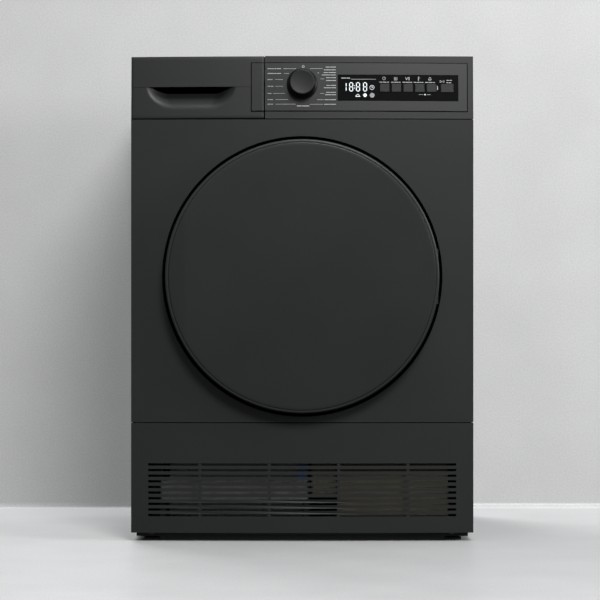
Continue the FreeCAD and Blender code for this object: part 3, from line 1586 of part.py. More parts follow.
doc.recompute()
by_label = {}
for obj in doc.Objects:
    if "Invalid" in obj.State or "Error" in obj.State:
        raise RuntimeError(f"{obj.Label} did not recompute: {obj.State}")
    by_label[obj.Label] = obj
os.makedirs("parts", exist_ok=True)
for name in NODES:
    shape = by_label[name].Shape
    if shape.isNull() or not shape.isValid() or not shape.Solids:
        raise RuntimeError(f"{name} has no valid solid")
    shape.exportStep(f"parts/{name}.step")
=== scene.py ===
import math

import bmesh
import bpy
import numpy as np
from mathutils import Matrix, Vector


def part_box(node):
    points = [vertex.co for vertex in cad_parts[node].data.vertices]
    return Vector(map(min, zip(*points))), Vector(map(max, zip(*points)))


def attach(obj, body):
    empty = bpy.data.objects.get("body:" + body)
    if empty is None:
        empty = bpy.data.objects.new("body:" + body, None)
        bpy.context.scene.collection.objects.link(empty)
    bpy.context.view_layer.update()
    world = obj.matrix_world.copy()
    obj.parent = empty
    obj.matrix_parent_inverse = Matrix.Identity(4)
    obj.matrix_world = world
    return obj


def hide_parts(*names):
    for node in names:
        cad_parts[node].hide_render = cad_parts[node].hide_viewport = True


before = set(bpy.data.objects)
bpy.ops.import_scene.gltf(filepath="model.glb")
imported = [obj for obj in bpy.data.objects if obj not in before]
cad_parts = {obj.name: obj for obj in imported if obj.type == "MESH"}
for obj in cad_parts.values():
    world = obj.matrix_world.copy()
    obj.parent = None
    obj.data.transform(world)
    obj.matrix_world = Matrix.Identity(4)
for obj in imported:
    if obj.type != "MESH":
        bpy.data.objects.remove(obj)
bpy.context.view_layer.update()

bl_info = {
    "name": "Tumble dryer looks",
    "version": (1, 0, 0),
    "blender": (4, 5, 0),
    "location": "View3D > Sidebar > Dryer",
    "description": "Finishes and fine surfaces of a free standing tumble dryer",
    "category": "Object",
}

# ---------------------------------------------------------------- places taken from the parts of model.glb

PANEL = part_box("front_panel")
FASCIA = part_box("control_fascia")
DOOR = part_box("door_frame")
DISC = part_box("door_disc")
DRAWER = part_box("drawer_front")

HALF = PANEL[1].x
SKIN_Y = PANEL[0].y
SKIN_BACK = PANEL[1].y
DOOR_Z = (DOOR[0].z + DOOR[1].z) / 2
FOOT = FASCIA[0].z
TOP = FASCIA[1].z
KEYS = [f"option_key_{i}" for i in range(1, 6)] + ["start_key"]

# ---------------------------------------------------------------- places of the fine shapes, in metres

CONSOLE_LEFT = -0.088  # left end of the raised console, which runs on over the drawer front
CONSOLE_FOOT = 0.0138  # lower and upper edge of the console, up the slope from the fascia's foot
CONSOLE_HEAD = 0.0974
CONSOLE_RIGHT = 0.287
CONSOLE_PROUD = 0.0012  # how far the console stands in front of the fascia
PRINT_BASE = 0.0010  # level of the marks on the display window
KNOB_UP = 0.0605
POCKET_DEEP = 0.010  # depth of the black pocket inside the finger scoop
DOOR_CREASE_X = -0.202  # crease of the door's grip facet, and how far and over what width it falls back
DOOR_CREASE_FALL = 0.0016
DOOR_CREASE_RUN = 0.028
# The console's marks are laid out on a grid of about 1.74 mm, counted to the right and downwards.
GRID_MIDDLE, GRID_ACROSS = 302.2, 0.001744
GRID_FLOOR, GRID_UP = 541.3, 0.001742
LEAD, FINE = 0.00055, 0.0011  # widths of leader lines and of dashes
KEY_MARKS = (383.9, 395.5, 407.0, 418.2, 429.7)
DIAL_LEFT_EDGE, DIAL_RIGHT_EDGE = 267.6, 335.8
# left of the dial: level, end of the words, start and end of their leader line, shares of the dashes
DIAL_LEFT = [
    (69.1, 281, 283.5, 296, (3, 1, 2)), (73.9, 281, 284, 289, (3, 1, 2)), (80.0, 272.5, 275.5, 283, (4, 2)),
    (86.8, 273.5, 275.5, 283, (3, 3)), (94.0, 271.5, 273.5, 285, (4,)), (100.2, 273, 275.5, 288, (2, 3)),
    (104.8, 273, 275.5, 295.6, (3, 2)),
]
# right of the dial: level, start of the words, shares of the dashes
DIAL_RIGHT = [
    (67.5, 325.6, (2, 3)), (70.3, 323.8, (3, 2)), (73.0, 323.6, (2, 3)), (75.4, 321.6, (3, 2)),
    (78.2, 326, (2, 3)), (81.0, 326, (3, 2)), (85.9, 326.4, (2, 3)), (88.3, 323.8, (3, 2)),
    (92.9, 326, (2, 3)), (95.3, 325, (3, 2)), (100.3, 324.5, (3, 4)), (104.9, 324, (3, 4)),
]
DIAL_LINES = [
    (69.0, 310, 322.6), (79.4, 320.4, 324.2), (94.0, 320, 324), (100.3, 317, 323.5), (104.9, 309.8, 323)
]
COVER_FRONT, COVER_BACK = -0.238, -0.231  # faces of the sound covers in the base
WALL_Y = 0.44  # the studio's wall, and the bend of the paper below it
PAPER_BEND = 0.012
CAMERA_PLACE = (0, -4.6725, 0.42)
CAMERA_LENS = 151.9
CAMERA_SHIFT = -0.0037
# lamps: name, place, the point it shines at, width and power
LAMPS = [
    ("key_lamp", (0.85, -4.0, 3.3), (0.0, 0.0, 0.3), 1.6, 150),
    ("side_lamp", (2.6, -1.3, 1.3), (0.1, 0.0, 0.5), 1.2, 34),
    ("top_lamp", (0.5, -0.9, 3.4), (0.0, 0.2, 0.0), 1.4, 10),
    ("rear_lamp", (-1.2, 2.6, 2.6), (0.0, 0.1, 0.4), 2.0, 90),
]

BOX_FACES = np.array(
    [[0, 3, 2, 1], [4, 5, 6, 7], [0, 1, 5, 4], [1, 2, 6, 5], [2, 3, 7, 6], [3, 0, 4, 7]], dtype=np.int32
)


def length(name, words, value):
    return bpy.props.FloatProperty(name=name, description=words, default=value, subtype="DISTANCE")


def colour(name, words, value):
    return bpy.props.FloatVectorProperty(name=name, description=words, default=value, subtype="COLOR", size=3)


class DryerSizes(bpy.types.PropertyGroup):
    bow: length("Bow", "Bulge of the front skins' middle", 0.008)
    slope: bpy.props.FloatProperty(
        name="Slope", description="Lean of the fascia", default=math.radians(5), subtype="ANGLE"
    )
    edge: length("Edge", "Rounding of the mouldings' edges", 0.0014)
    recess_r: length("Recess radius", "Pressed recess around the door", 0.244)
    recess_deep: length("Recess depth", "Recess floor behind the skin's middle", 0.0125)
    crease_up: length("Crease", "Drawer's crease, measured up the slope", 0.0561)
    crease_step: length("Crease step", "Lower half of the drawer front behind the upper one", 0.0007)
    scoop_x: length("Scoop middle", "Middle of the finger scoop", -0.1935)
    scoop_half: length("Scoop half width", "Half the width of the finger scoop", 0.0785)
    scoop_high: length("Scoop height", "Height of the finger scoop", 0.0415)
    scoop_deep: length("Scoop depth", "Depth of the finger scoop", 0.016)
    print_lift: length("Print lift", "Thickness of the printed marks", 0.00006)


class DryerColours(bpy.types.PropertyGroup):
    enamel: colour("Enamel", "Cabinet paint", (0.0150, 0.0163, 0.0158))
    plastic: colour("Front plastic", "Mouldings of the front", (0.0145, 0.0158, 0.0153))
    console: colour("Console", "Raised console plate", (0.0185, 0.0200, 0.0200))
    key: colour("Keys", "Key caps", (0.026, 0.027, 0.0275))
    ink: colour("Print", "Printed marks", (0.5, 0.51, 0.51))
    lever: colour("Levers", "Locking levers", (0.02, 0.1, 0.42))


def sizes():
    return bpy.context.scene.dryer_sizes


def colours():
    return bpy.context.scene.dryer_colours


# ---------------------------------------------------------------- shader groups


def group_sockets(group, inputs, outputs):
    for name, kind, default in inputs:
        socket = group.interface.new_socket(name=name, in_out="INPUT", socket_type=kind)
        socket.default_value = default
    for name, kind in outputs:
        group.interface.new_socket(name=name, in_out="OUTPUT", socket_type=kind)
    return group.nodes.new("NodeGroupInput"), group.nodes.new("NodeGroupOutput")


def math_node(tree, operation, a, b):
    node = tree.nodes.new("ShaderNodeMath")
    node.operation = operation
    for socket, value in zip(node.inputs, (a, b)):
        if isinstance(value, (int, float)):
            socket.default_value = value
        else:
            tree.links.new(value, socket)
    return node.outputs[0]


def ramp(tree, value, low, high, out_low=0.0, out_high=1.0):
    node = tree.nodes.new("ShaderNodeMapRange")
    tree.links.new(value, node.inputs["Value"])
    node.inputs["From Min"].default_value = low
    node.inputs["From Max"].default_value = high
    node.inputs["To Min"].default_value = out_low
    node.inputs["To Max"].default_value = out_high
    return node.outputs["Result"]


def noise(tree, vector, scale, detail=3.0, rough=0.55):
    node = tree.nodes.new("ShaderNodeTexNoise")
    tree.links.new(vector, node.inputs["Vector"])
    node.inputs["Detail"].default_value = detail
    node.inputs["Roughness"].default_value = rough
    if isinstance(scale, (int, float)):
        node.inputs["Scale"].default_value = scale
    else:
        tree.links.new(scale, node.inputs["Scale"])
    return node.outputs["Fac"]


def build_groups():
    """Grain, handling marks, dust and brushing, each as one shader group."""
    grain = bpy.data.node_groups.new("moulded grain", "ShaderNodeTree")
    start, end = group_sockets(
        grain, [("Vector", "NodeSocketVector", (0, 0, 0)), ("Scale", "NodeSocketFloat", 900.0)],
        [("Height", "NodeSocketFloat"), ("Tint", "NodeSocketFloat")],
    )
    cells = grain.nodes.new("ShaderNodeTexVoronoi")
    cells.feature = "SMOOTH_F1"
    grain.links.new(start.outputs["Vector"], cells.inputs["Vector"])
    grain.links.new(start.outputs["Scale"], cells.inputs["Scale"])
    fine = noise(grain, start.outputs["Vector"], start.outputs["Scale"], 4.0, 0.6)
    height = math_node(grain, "ADD", cells.outputs["Distance"], math_node(grain, "MULTIPLY", fine, 0.5))
    grain.links.new(height, end.inputs["Height"])
    grain.links.new(ramp(grain, fine, 0.3, 0.7, 0.9, 1.1), end.inputs["Tint"])

    marks = bpy.data.node_groups.new("handling marks", "ShaderNodeTree")
    start, end = group_sockets(
        marks,
        [("Vector", "NodeSocketVector", (0, 0, 0)), ("Base", "NodeSocketFloat", 0.45),
         ("Spread", "NodeSocketFloat", 0.08)],
        [("Roughness", "NodeSocketFloat"), ("Tint", "NodeSocketFloat")],
    )
    broad = noise(marks, start.outputs["Vector"], 6.0, 5.0, 0.6)
    small = noise(marks, start.outputs["Vector"], 60.0, 4.0, 0.6)
    broad_part = math_node(marks, "MULTIPLY", broad, 0.7)
    mixed = math_node(marks, "ADD", broad_part, math_node(marks, "MULTIPLY", small, 0.3))
    swing = math_node(marks, "SUBTRACT", mixed, 0.5)
    swing = math_node(marks, "MULTIPLY", swing, start.outputs["Spread"])
    rough = math_node(marks, "ADD", start.outputs["Base"], swing)
    marks.links.new(rough, end.inputs["Roughness"])
    marks.links.new(ramp(marks, broad, 0.3, 0.7, 0.96, 1.04), end.inputs["Tint"])

    dust = bpy.data.node_groups.new("settled dust", "ShaderNodeTree")
    start, end = group_sockets(
        dust,
        [("Vector", "NodeSocketVector", (0, 0, 0)), ("Normal", "NodeSocketVector", (0, 0, 1)),
         ("Amount", "NodeSocketFloat", 0.3)],
        [("Mask", "NodeSocketFloat")],
    )
    split = dust.nodes.new("ShaderNodeSeparateXYZ")
    dust.links.new(start.outputs["Normal"], split.inputs[0])
    up = ramp(dust, split.outputs["Z"], 0.2, 1.0)
    specks = ramp(dust, noise(dust, start.outputs["Vector"], 35.0, 8.0, 0.7), 0.45, 0.75)
    dust.links.new(
        math_node(dust, "MULTIPLY", math_node(dust, "MULTIPLY", up, specks), start.outputs["Amount"]),
        end.inputs["Mask"],
    )

    brush = bpy.data.node_groups.new("brushed metal", "ShaderNodeTree")
    start, end = group_sockets(
        brush,
        [("Vector", "NodeSocketVector", (0, 0, 0)), ("Stretch", "NodeSocketVector", (1, 60, 1)),
         ("Base", "NodeSocketFloat", 0.3)],
        [("Roughness", "NodeSocketFloat"), ("Height", "NodeSocketFloat"), ("Tint", "NodeSocketFloat")],
    )
    stretched = brush.nodes.new("ShaderNodeVectorMath")
    stretched.operation = "MULTIPLY"
    brush.links.new(start.outputs["Vector"], stretched.inputs[0])
    brush.links.new(start.outputs["Stretch"], stretched.inputs[1])
    lines = noise(brush, stretched.outputs[0], 20.0, 6.0, 0.7)
    brush.links.new(lines, end.inputs["Height"])
    brush.links.new(
        math_node(brush, "ADD", start.outputs["Base"], ramp(brush, lines, 0.3, 0.7, -0.06, 0.08)),
        end.inputs["Roughness"],
    )
    brush.links.new(ramp(brush, lines, 0.3, 0.7, 0.88, 1.08), end.inputs["Tint"])


# ---------------------------------------------------------------- materials


MIX_UNDER, MIX_OVER, MIX_RESULT = 6, 7, 2  # the colour sockets of a mix node, whose names repeat


class Finish:
    """One material under way: its tree, its Principled shader and its Object coordinates."""

    def __init__(self, name, colour, rough=0.5, metallic=0.0, specular=0.5):
        self.material = bpy.data.materials.new(name)
        self.material.use_nodes = True
        self.tree = self.material.node_tree
        self.shader = self.tree.nodes["Principled BSDF"]
        self.coords = self.tree.nodes.new("ShaderNodeTexCoord").outputs["Object"]
        self.colour = colour
        self.mixed = None
        self.tint = None
        self.height = None
        self.dust = None
        self.shader.inputs["Base Color"].default_value = (*colour, 1)
        self.shader.inputs["Roughness"].default_value = rough
        self.shader.inputs["Metallic"].default_value = metallic
        self.shader.inputs["Specular IOR Level"].default_value = specular

    def group(self, name, **values):
        node = self.tree.nodes.new("ShaderNodeGroup")
        node.node_tree = bpy.data.node_groups[name]
        self.tree.links.new(self.coords, node.inputs["Vector"])
        for key, value in values.items():
            node.inputs[key].default_value = value
        return node

    def times(self, value):
        """Multiplies the colour by a value that changes over the surface."""
        self.tint = value if self.tint is None else math_node(self.tree, "MULTIPLY", self.tint, value)
        return self

    def bump(self, height, distance, strength=1.0):
        node = self.tree.nodes.new("ShaderNodeBump")
        node.inputs["Distance"].default_value = distance
        node.inputs["Strength"].default_value = strength
        self.tree.links.new(height, node.inputs["Height"])
        if self.height is not None:
            self.tree.links.new(self.height, node.inputs["Normal"])
        self.height = node.outputs["Normal"]
        return self

    def grained(self, scale=900.0, depth=0.00005):
        grain = self.group("moulded grain", Scale=scale)
        return self.times(grain.outputs["Tint"]).bump(grain.outputs["Height"], depth)

    def handled(self, base, spread=0.1):
        marks = self.group("handling marks", Base=base, Spread=spread)
        self.tree.links.new(marks.outputs["Roughness"], self.shader.inputs["Roughness"])
        return self.times(marks.outputs["Tint"])

    def brushed(self, stretch, base, depth=0.00003):
        brush = self.group("brushed metal", Stretch=stretch, Base=base)
        self.tree.links.new(brush.outputs["Roughness"], self.shader.inputs["Roughness"])
        return self.times(brush.outputs["Tint"]).bump(brush.outputs["Height"], depth)

    def dusty(self, amount, colour=(0.5, 0.48, 0.45)):
        dust = self.group("settled dust", Amount=amount)
        facing = self.tree.nodes.new("ShaderNodeNewGeometry").outputs["Normal"]
        self.tree.links.new(facing, dust.inputs["Normal"])
        self.dust = (dust.outputs["Mask"], colour)
        return self

    def mix(self, mask, colour_b):
        """Lays a second colour over the first where the mask is one."""
        self.mixed = self.colour_mix(mask, None, colour_b)
        return self

    def colour_mix(self, mask, under, over):
        """One mix node: the socket under, or else the finish's own colour, and the colour over it."""
        node = self.tree.nodes.new("ShaderNodeMix")
        node.data_type = "RGBA"
        self.tree.links.new(mask, node.inputs[0])
        if under is None:
            node.inputs[MIX_UNDER].default_value = (*self.colour, 1)
        else:
            self.tree.links.new(under, node.inputs[MIX_UNDER])
        node.inputs[MIX_OVER].default_value = (*over, 1)
        return node.outputs[MIX_RESULT]

    def done(self):
        colour = self.mixed
        if self.tint is not None:
            node = self.tree.nodes.new("ShaderNodeVectorMath")
            node.operation = "SCALE"
            if colour is None:
                node.inputs[0].default_value = self.colour
            else:
                self.tree.links.new(colour, node.inputs[0])
            self.tree.links.new(self.tint, node.inputs["Scale"])
            colour = node.outputs[0]
        if self.dust is not None:
            mask, dust_colour = self.dust
            colour = self.colour_mix(mask, colour, dust_colour)
        if colour is not None:
            self.tree.links.new(colour, self.shader.inputs["Base Color"])
        if self.height is not None:
            self.tree.links.new(self.height, self.shader.inputs["Normal"])
        return self.material


def stripes(finish, axis, pitch, low=0.35, high=0.65):
    """Even ridges across one axis, as a value from 0 to 1."""
    split = finish.tree.nodes.new("ShaderNodeSeparateXYZ")
    finish.tree.links.new(finish.coords, split.inputs[0])
    phase = math_node(finish.tree, "MULTIPLY", split.outputs[axis], 2 * math.pi / pitch)
    wave = math_node(finish.tree, "SINE", phase, 0.0)
    return ramp(finish.tree, wave, low * 2 - 1, high * 2 - 1)


def cells(finish, scale, feature="DISTANCE_TO_EDGE"):
    node = finish.tree.nodes.new("ShaderNodeTexVoronoi")
    node.feature = feature
    node.inputs["Scale"].default_value = scale
    finish.tree.links.new(finish.coords, node.inputs["Vector"])
    return node.outputs["Distance"]


def plain(label, colour, handling, grain=None, dust=None, **look):
    """A finish of one colour: grain is its (scale, depth), handling its (roughness, spread)."""
    finish = Finish(label, colour, **look)
    if grain is not None:
        finish.grained(*grain)
    finish.handled(*handling)
    return finish if dust is None else finish.dusty(dust)


def shade(colour, factor):
    return tuple(factor * v for v in colour)


def make_materials():
    c = colours()
    plastic, smooth, fine = c.plastic, (1300, 0.00003), (2600, 0.00001)
    made = {
        "enamel": plain("matt enamel", c.enamel, (0.4, 0.1), (1400, 0.00002), 0.05),
        "front": plain("front moulding", plastic, (0.42, 0.08), smooth),
        "fascia": plain("fascia moulding", shade(plastic, 0.72), (0.42, 0.08), smooth, specular=0.36),
        "kick": plain("kick plate moulding", shade(plastic, 1.1), (0.52, 0.08), smooth, specular=0.32),
        "disc": plain("door face", plastic, (0.36, 0.1), (1800, 0.000012)),
        "worktop": plain("worktop laminate", c.enamel, (0.5, 0.06), (1100, 0.00004), 0.04),
        "console": plain(
            "console plate", shade(c.console, 0.72), (0.38, 0.06), (2200, 0.00001), specular=0.4
        ),
        "gloss": plain("display gloss", (0.0022, 0.0024, 0.0025), (0.3, 0.05), specular=0.05),
        "knob": plain("knob", shade(plastic, 0.6), (0.34, 0.08), fine, specular=0.3),
        # knob side: black, painted shade on the knob's side and skirt
        "knob_side_shade": plain("knob side painted shade", (0.003, 0.0032, 0.0032), (0.4, 0.08), fine, specular=0.25),
        # black: the left lever's own colour, and painted shadow in the scoop's pocket, under the console and
        # round the door
        "pocket": plain("black plastic and painted shadow", (0.0008, 0.0009, 0.0009), (0.8, 0.1), (900, 0.00003), specular=0.0),
        "jacket": plain("tan sound cover", (0.17, 0.155, 0.105), (0.8, 0.1), (260, 0.0003), specular=0.2),
        "key": plain("key cap", shade(c.key, 0.62), (0.34, 0.06), fine, specular=0.3),
        "ink": plain("print", c.ink, (0.5, 0.1), (2000, 0.000005)),
        "lit": plain("lit figures", (0.6, 0.62, 0.62), (0.4, 0.1), (1500, 0.000004)),
        "lever": plain("blue lever", c.lever, (0.4, 0.1), (1500, 0.00003)),
        "light": plain("light grey moulding", (0.34, 0.345, 0.34), (0.42, 0.1), (1000, 0.00004)),
        "mid": plain("mid grey moulding", (0.24, 0.242, 0.238), (0.5, 0.1), (1000, 0.00004)),
        "dark": plain("dark grey moulding", (0.02, 0.021, 0.022), (0.5, 0.12), (900, 0.00005), 0.25),
        "tank": plain("tank plastic", (0.5, 0.52, 0.53), (0.32, 0.1), (500, 0.00003)),
        "rubber": plain("rubber", (0.012, 0.012, 0.012), (0.65, 0.15), (700, 0.00005)),
        "board": plain("circuit board", (0.01, 0.09, 0.03), (0.35, 0.1)),
        "castiron": plain("motor shell", (0.09, 0.095, 0.1), (0.5, 0.15), (400, 0.0001), metallic=0.7),
        "black": plain("compressor enamel", (0.008, 0.008, 0.009), (0.22, 0.15), dust=0.2),
        "copper": Finish("copper tube", (0.55, 0.24, 0.12), metallic=1.0).brushed((1, 1, 30), 0.3),
        "zinc": Finish("zinc plating", (0.5, 0.49, 0.44), metallic=1.0).brushed((40, 1, 1), 0.34),
        "stainless": Finish("stainless drum", (0.52, 0.52, 0.51), metallic=1.0).brushed(
            (1, 1, 1), 0.27, 0.00001
        ),
        "galvanised": plain("galvanised sheet", (0.36, 0.37, 0.38), (0.42, 0.2), metallic=0.55),
        "fins": plain("fin pack", (0.6, 0.61, 0.62), (0.4, 0.1), metallic=1.0),
        "felt": plain("wool felt", (0.3, 0.28, 0.25), (0.9, 0.1), (500, 0.0004)),
        "filter": plain("lint filter", (0.14, 0.3, 0.36), (0.5, 0.1)),
    }
    # painted shade in the drawer front's finger scoop, under its overhang
    paint_scoop_shade(made["fascia"])
    lit = made["lit"].shader.inputs
    lit["Emission Color"].default_value = (0.85, 0.93, 1.0, 1)
    lit["Emission Strength"].default_value = 0.65
    made["tank"].shader.inputs["Subsurface Weight"].default_value = 0.15
    made["felt"].shader.inputs["Sheen Weight"].default_value = 0.5
    board = made["board"]
    board.mix(ramp(board.tree, cells(board, 160), 0.02, 0.05, 1.0, 0.0), (0.05, 0.2, 0.06))
    made["castiron"].bump(stripes(made["castiron"], 1, 0.0035), 0.0003)
    drum = made["stainless"]
    drum.bump(ramp(drum.tree, cells(drum, 42), 0.02, 0.12), 0.0009, 0.7)
    sheet = made["galvanised"]
    sheet.times(ramp(sheet.tree, cells(sheet, 90, "F1"), 0.0, 0.8, 0.82, 1.12))
    pack = made["fins"]
    fin = stripes(pack, 0, 0.0022)
    # The colour falls to 0.35 between the fins: painted shade in the gaps of the fin pack.
    pack.bump(fin, 0.0006).times(ramp(pack.tree, fin, 0.0, 1.0, 0.35, 1.0))
    gauze = made["filter"]
    mesh = math_node(gauze.tree, "MULTIPLY", stripes(gauze, 0, 0.0009), stripes(gauze, 2, 0.0009))
    gauze.bump(mesh, 0.0002).times(ramp(gauze.tree, mesh, 0.0, 1.0, 0.55, 1.1))
    return {name: finish.done() for name, finish in made.items()}


def paint_scoop_shade(finish):
    """Darkens the moulding to 0.3 where the drawer front's shade value is one: painted shade in the finger
    scoop under its overhang.
    """
    scoop_shade = finish.tree.nodes.new("ShaderNodeAttribute")
    scoop_shade.attribute_name = "scoop_shade"
    finish.times(ramp(finish.tree, scoop_shade.outputs["Fac"], 0.0, 1.0, 1.0, 0.3))


NODE_FINISH = {
    "enamel": "left_side_panel right_side_panel front_panel",
    "front": "door_frame",
    "kick": "kick_plate",
    "fascia": "control_fascia drawer_front",
    "disc": "door_disc",
    "worktop": "worktop",
    "console": "console_plate",
    "gloss": "display_window",
    "knob": "program_knob",
    "key": " ".join(KEYS),
    "galvanised": "rear_panel rear_duct_cover top_rails bearing_housing",
    "stainless": "drum_shell drum_rear_plate",
    "zinc": "rear_screws door_screws motor_rotor idler_arm latch_hook",
    "light": "door_bowl front_bulkhead drum_lifters",
    "mid": "exchanger_cover",
    "pocket": "left_lever",
    "dark": "base_tray heat_pump_cover tank_tray process_fan drain_pump hinge_plate",
    "tank": "water_tank",
    "filter": "lint_filter",
    "lever": "right_lever",
    "rubber": "opening_seal drive_belt drain_pipe left_drum_roller right_drum_roller idler_pulley"
    " foot_front_left foot_front_right foot_rear_left foot_rear_right",
    "felt": "drum_felt",
    "castiron": "drive_motor",
    "black": "compressor door_hinge",
    "fins": "heat_exchangers",
    "copper": "refrigerant_pipes",
    "board": "control_board",
}


MATERIALS = {}


def material(name):
    return MATERIALS[name]


# ---------------------------------------------------------------- surfaces worked out on grids


def grid_mesh(name, points, finish, closed_rows=False):
    """A mesh from an array of rows of points (rows, columns, 3): each four neighbours make a face."""
    rows, cols = points.shape[:2]
    index = np.arange(rows * cols).reshape(rows, cols)
    if closed_rows:
        index = np.concatenate([index, index[:, :1]], axis=1)
    quads = np.stack([index[:-1, :-1], index[:-1, 1:], index[1:, 1:], index[1:, :-1]], axis=-1).reshape(-1, 4)
    return quads_mesh(name, points.reshape(-1, 3), quads, finish)


def quads_mesh(name, vertices, quads, finish):
    mesh = bpy.data.meshes.new(name)
    mesh.vertices.add(len(vertices))
    mesh.vertices.foreach_set("co", np.ascontiguousarray(vertices, dtype=np.float32).ravel())
    mesh.loops.add(quads.size)
    mesh.loops.foreach_set("vertex_index", np.ascontiguousarray(quads, dtype=np.int32).ravel())
    mesh.polygons.add(len(quads))
    mesh.polygons.foreach_set("loop_start", np.arange(0, quads.size, 4, dtype=np.int32))
    mesh.update(calc_edges=True)
    mesh.validate()
    mesh.materials.append(material(finish))
    piece = bpy.data.objects.new(name, mesh)
    bpy.context.scene.collection.objects.link(piece)
    return piece


def tidy(piece, smooth_angle=40.0):
    """Merges doubles, turns faces outwards and shades smoothly below the angle."""
    work = bmesh.new()
    work.from_mesh(piece.data)
    bmesh.ops.remove_doubles(work, verts=work.verts, dist=1e-6)
    bmesh.ops.recalc_face_normals(work, faces=work.faces)
    limit = math.radians(smooth_angle)
    for face in work.faces:
        face.smooth = True
    for edge in work.edges:
        edge.smooth = not (len(edge.link_faces) == 2 and edge.calc_face_angle(0) > limit)
    work.to_mesh(piece.data)
    work.free()
    return piece


def thicken(piece, thickness):
    solid = piece.modifiers.new("wall", "SOLIDIFY")
    solid.thickness = thickness
    solid.offset = -1
    return piece


def bow_depth(x):
    """How far the bowed skin lies behind its middle: a circle through the middle and both ends."""
    bow = sizes().bow
    radius = (HALF**2 + bow**2) / (2 * bow)
    return radius - np.sqrt(radius**2 - np.square(x))


def lean(x, up, lift):
    """Points of the leaning fascia: x across, up along the slope, lift in front of the bowed surface."""
    x, up, lift = np.broadcast_arrays(x, up, lift)
    behind = bow_depth(x) - lift
    s, c = math.sin(sizes().slope), math.cos(sizes().slope)
    return np.stack([x, SKIN_Y + behind * c + up * s, FOOT + up * c - behind * s], axis=-1)


def rounded_ends(low, high, edge, steps=5):
    """Positions from low to high with a quarter round at each end; returns positions and setbacks."""
    turn = np.linspace(0, math.pi / 2, steps)
    near = low + edge * (1 - np.sin(turn))[::-1]
    back = edge * (1 - np.cos(turn))[::-1]
    return near, back, (low + high) - near[::-1], back[::-1]


def smoothstep(low, high, value):
    t = np.clip((value - low) / (high - low), 0, 1)
    return t * t * (3 - 2 * t)


def turned_mesh(name, profile, place, finish, around=128):
    """A surface of revolution: the profile's (radius, forward) pairs go round in equal turns.

    place(x, y, f) puts each point: x and y lie across the axis, f along it. A zero radius closes the pole."""
    r, f = np.asarray(profile, dtype=float).T
    turn = np.linspace(0, 2 * math.pi, around, endpoint=False)
    points = place(r[:, None] * np.cos(turn), r[:, None] * np.sin(turn), f[:, None] + 0 * turn)
    return tidy(grid_mesh(name, points, finish, closed_rows=True), 35)


def arc(centre, radius, start, end, steps=8):
    """Points of a circular arc in a profile's plane, angles in degrees."""
    turn = np.radians(np.linspace(start, end, steps))
    return np.stack([centre[0] + radius * np.cos(turn), centre[1] + radius * np.sin(turn)], axis=-1)


def pocket_edge(across):
    """Lower edge of the scoop's black pocket, painted shadow under the crease, as a share of the scoop's
    height.

    It is level in the middle and runs up to the crease at both ends."""
    return 0.25 * (1 - smoothstep(0.5, 1.0, across)) - 0.02


def drawer_depth(x, up):
    """Depth of the drawer front behind the bowed skin: flush above the crease, one step back below it.

    The scoop is a bowl that fades with the distance from the middle of its flat upper edge, with a steep
    pocket along that edge. The console's end stands proud on the right."""
    s = sizes()
    across = np.abs(x - s.scoop_x) / s.scoop_half
    down = (s.crease_up - up) / s.scoop_high
    below = down > 0
    narrow = across / (1 - 0.42 * np.square(np.clip(down, 0, 1)))
    bowl = (1 - smoothstep(0.55, 1.0, narrow)) * np.power(1 - smoothstep(0.0, 1.0, down), 1.4)
    bowl = s.scoop_deep * bowl
    pocket = POCKET_DEEP * smoothstep(0.0, 0.05, pocket_edge(across) - down)
    depth = np.where(below, s.crease_step + bowl + pocket, 0.0)
    strip = (x > CONSOLE_LEFT) & (up > CONSOLE_FOOT) & (up < CONSOLE_HEAD)
    return np.where(strip, -CONSOLE_PROUD, depth)


def folded(low, high, edge, middle):
    """Positions and setbacks of a moulding's rows: its rounded ends and the middle between them.

    The first and the last position come once more, for the folded back edges."""
    near, back, far, far_back = rounded_ends(low, high, edge)
    middle = middle(near[-1], far[0])
    places = np.concatenate([[low], near, middle, far, [high]])
    setbacks = np.concatenate([[0.0], back, 0 * middle, far_back, [0.0]])
    return places, setbacks


